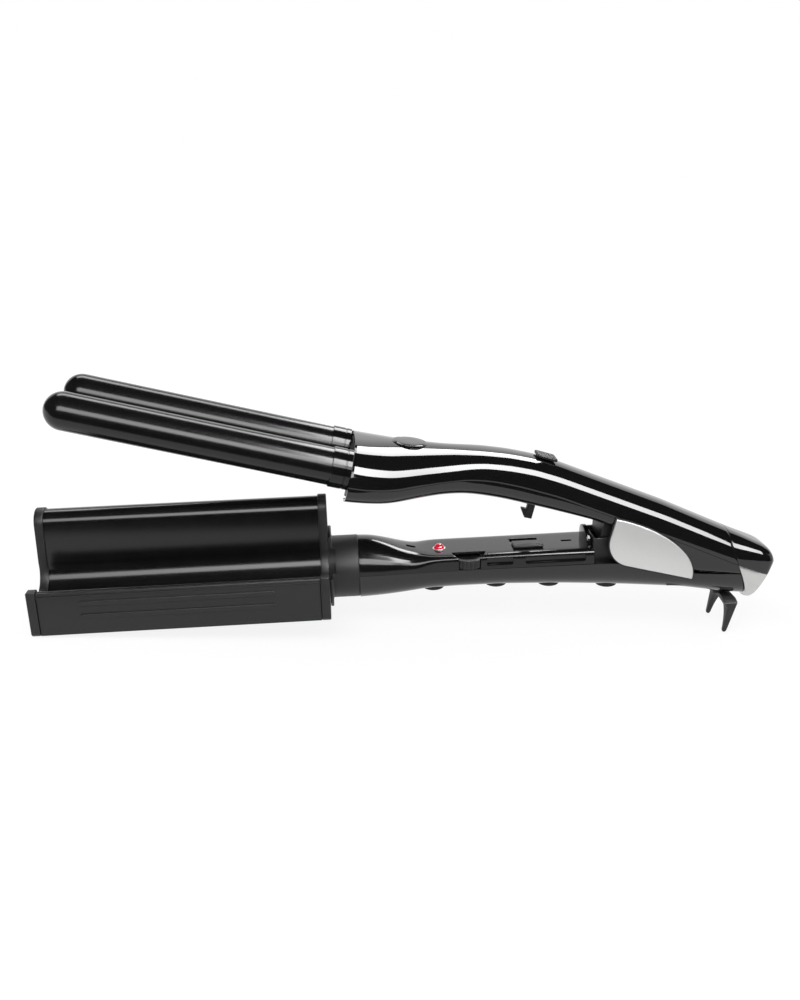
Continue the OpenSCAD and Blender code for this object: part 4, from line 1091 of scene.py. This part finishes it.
class WAVER_OT_stage(bpy.types.Operator):
    """Pale floor, studio light and the camera"""
    bl_idname = "waver.stage"
    bl_label = "Stage"

    def execute(self, context):
        scene = context.scene
        scene.view_settings.view_transform = "Standard"
        bpy.ops.mesh.primitive_plane_add(size=8, location=(0, 0, -0.0003))
        floor = bpy.context.object
        floor.name = floor.data.name = "studio_floor"
        made, tree, output = new_material("Paper roll matt")
        # plain white far from the iron, and a little paper close to it, which takes the shadow
        place = node(tree, "ShaderNodeTexCoord")
        far = node(tree, "ShaderNodeVectorMath", {"operation": "LENGTH"},
                   n0=place.outputs["Object"])
        fade = node(tree, "ShaderNodeMapRange", values={"From Min": 0.22, "From Max": 0.5,
                                                        "To Min": 0.82, "To Max": 1.0},
                    Value=far.outputs["Value"])
        amount = node(tree, "ShaderNodeMath", {"operation": "MULTIPLY"}, n0=rays_seen(tree),
                      n1=fade.outputs[0])
        paper = node(tree, "ShaderNodeBsdfDiffuse", values={"Color": linear(colours().floor)})
        white = node(tree, "ShaderNodeEmission", values={"Strength": 1.06})
        both = node(tree, "ShaderNodeMixShader", n0=amount.outputs[0], n1=paper.outputs[0],
                    n2=white.outputs[0])
        tree.links.new(both.outputs[0], output.inputs[0])
        floor.data.materials.append(made)

        world = bpy.data.worlds.new("Studio")
        world.use_nodes = True
        scene.world = world
        tree = world.node_tree
        tree.nodes.clear()
        fill = node(tree, "ShaderNodeBackground", values={"Color": (1, 1, 1, 1), "Strength": 0.55})
        white = node(tree, "ShaderNodeBackground", values={"Color": (1, 1, 1, 1), "Strength": 1.0})
        both = node(tree, "ShaderNodeMixShader", n0=rays_seen(tree), n1=fill.outputs[0],
                    n2=white.outputs[0])
        node(tree, "ShaderNodeOutputWorld", n0=both.outputs[0])

        # dark flags overhead, behind the camera and on the floor in front keep the polished blacks
        # deep, and a grey one behind the iron gives the soft sheen on its back
        card("flag_back", -14, 36, -5, 5, 1.15, away=2.6)
        card("flag_top", 34, 120, -5, 5, 0.0, away=2.4)
        card("flag_front", 118, 186, -5, 5, 0.0, away=2.5)
        flag = card("flag_floor", 0, 90, -5, 5, 0.0)
        flag.rotation_euler, flag.location = (0, 0, 0), (0, -0.2 - flag.dimensions.y / 2, 0.001)
        flag = card("flag_left", 0, 60, -2, 2, 0.05)
        flag.rotation_euler, flag.location = (math.pi / 2, 0, -math.pi / 2), (-2.4, 0, 0.93)
        # long strips that draw the light lines on the barrels, the plate and the handle
        card("strip_back_left", 46, 64, -0.9, 0.2, 5.5, 6.5)
        card("strip_back_right", 38, 64, 0.2, 0.85, 12.0, 16.0)
        card("strip_front_left", 139, 161, -0.9, 0.24, 5.5, 9.5)
        card("strip_front_right", 117, 147, 0.24, 1.9, 24.0, 14.0)

        bpy.ops.object.light_add(type="AREA", location=(-0.6, -0.9, 1.4))
        key = bpy.context.object
        key.name = "key"
        key.data.shape, key.data.size, key.data.size_y, key.data.energy = "RECTANGLE", 1.4, 0.9, 14
        aim = Vector((0, 0, 0.08)) - key.location
        key.rotation_euler = aim.to_track_quat("-Z", "Y").to_euler()
        key.visible_glossy = False

        lens = bpy.data.cameras.new("camera")
        lens.lens, lens.sensor_width, lens.sensor_fit = 36, 36, "AUTO"
        lens.clip_start, lens.clip_end = 0.01, 50
        camera = bpy.data.objects.new("camera", lens)
        scene.collection.objects.link(camera)
        # fitted to the photograph: down, to the right and rolled, in degrees
        down, right, roll = (math.radians(a) for a in (18.5240, 5.3123, 3.6390))
        camera.matrix_world = (Matrix.Translation((-0.0546874, -0.4961180, 0.2329372))
                               @ Matrix.Rotation(-right, 4, "Z")
                               @ Matrix.Rotation(math.pi / 2 - down, 4, "X")
                               @ Matrix.Rotation(roll, 4, "Z"))
        scene.camera = camera
        return {"FINISHED"}


# ---- panel ----

STEPS = (WAVER_OT_stage, WAVER_OT_inner_parts, WAVER_OT_wave_plate, WAVER_OT_jaw,
         WAVER_OT_lower_handle, WAVER_OT_controls, WAVER_OT_guards, WAVER_OT_underside,
         WAVER_OT_barrels, WAVER_OT_upper_handle, WAVER_OT_top_fittings, WAVER_OT_side_plates,
         WAVER_OT_tail)


class WAVER_PT_panel(bpy.types.Panel):
    """Lists the pieces and the sizes that can be changed"""
    bl_idname = "WAVER_PT_panel"
    bl_label = "Hair waver"
    bl_space_type = "VIEW_3D"
    bl_region_type = "UI"
    bl_category = "Waver"

    def draw(self, context):
        layout = self.layout
        for group in (context.scene.waver_sizes, context.scene.waver_colours):
            column = layout.column()
            for key in group.bl_rna.properties.keys():
                if key not in {"rna_type", "name"}:
                    column.prop(group, key)
        for step in STEPS:
            layout.operator(step.bl_idname)


CLASSES = (WaverSizes, WaverColours, *STEPS, WAVER_PT_panel)


def register():
    for made in CLASSES:
        bpy.utils.register_class(made)
    bpy.types.Scene.waver_sizes = bpy.props.PointerProperty(type=WaverSizes)
    bpy.types.Scene.waver_colours = bpy.props.PointerProperty(type=WaverColours)


def unregister():
    del bpy.types.Scene.waver_colours
    del bpy.types.Scene.waver_sizes
    for made in reversed(CLASSES):
        bpy.utils.unregister_class(made)


def main():
    register()
    for step in STEPS:
        group, name = step.bl_idname.split(".")
        getattr(getattr(bpy.ops, group), name)()


if __name__ == "__main__":
    main()
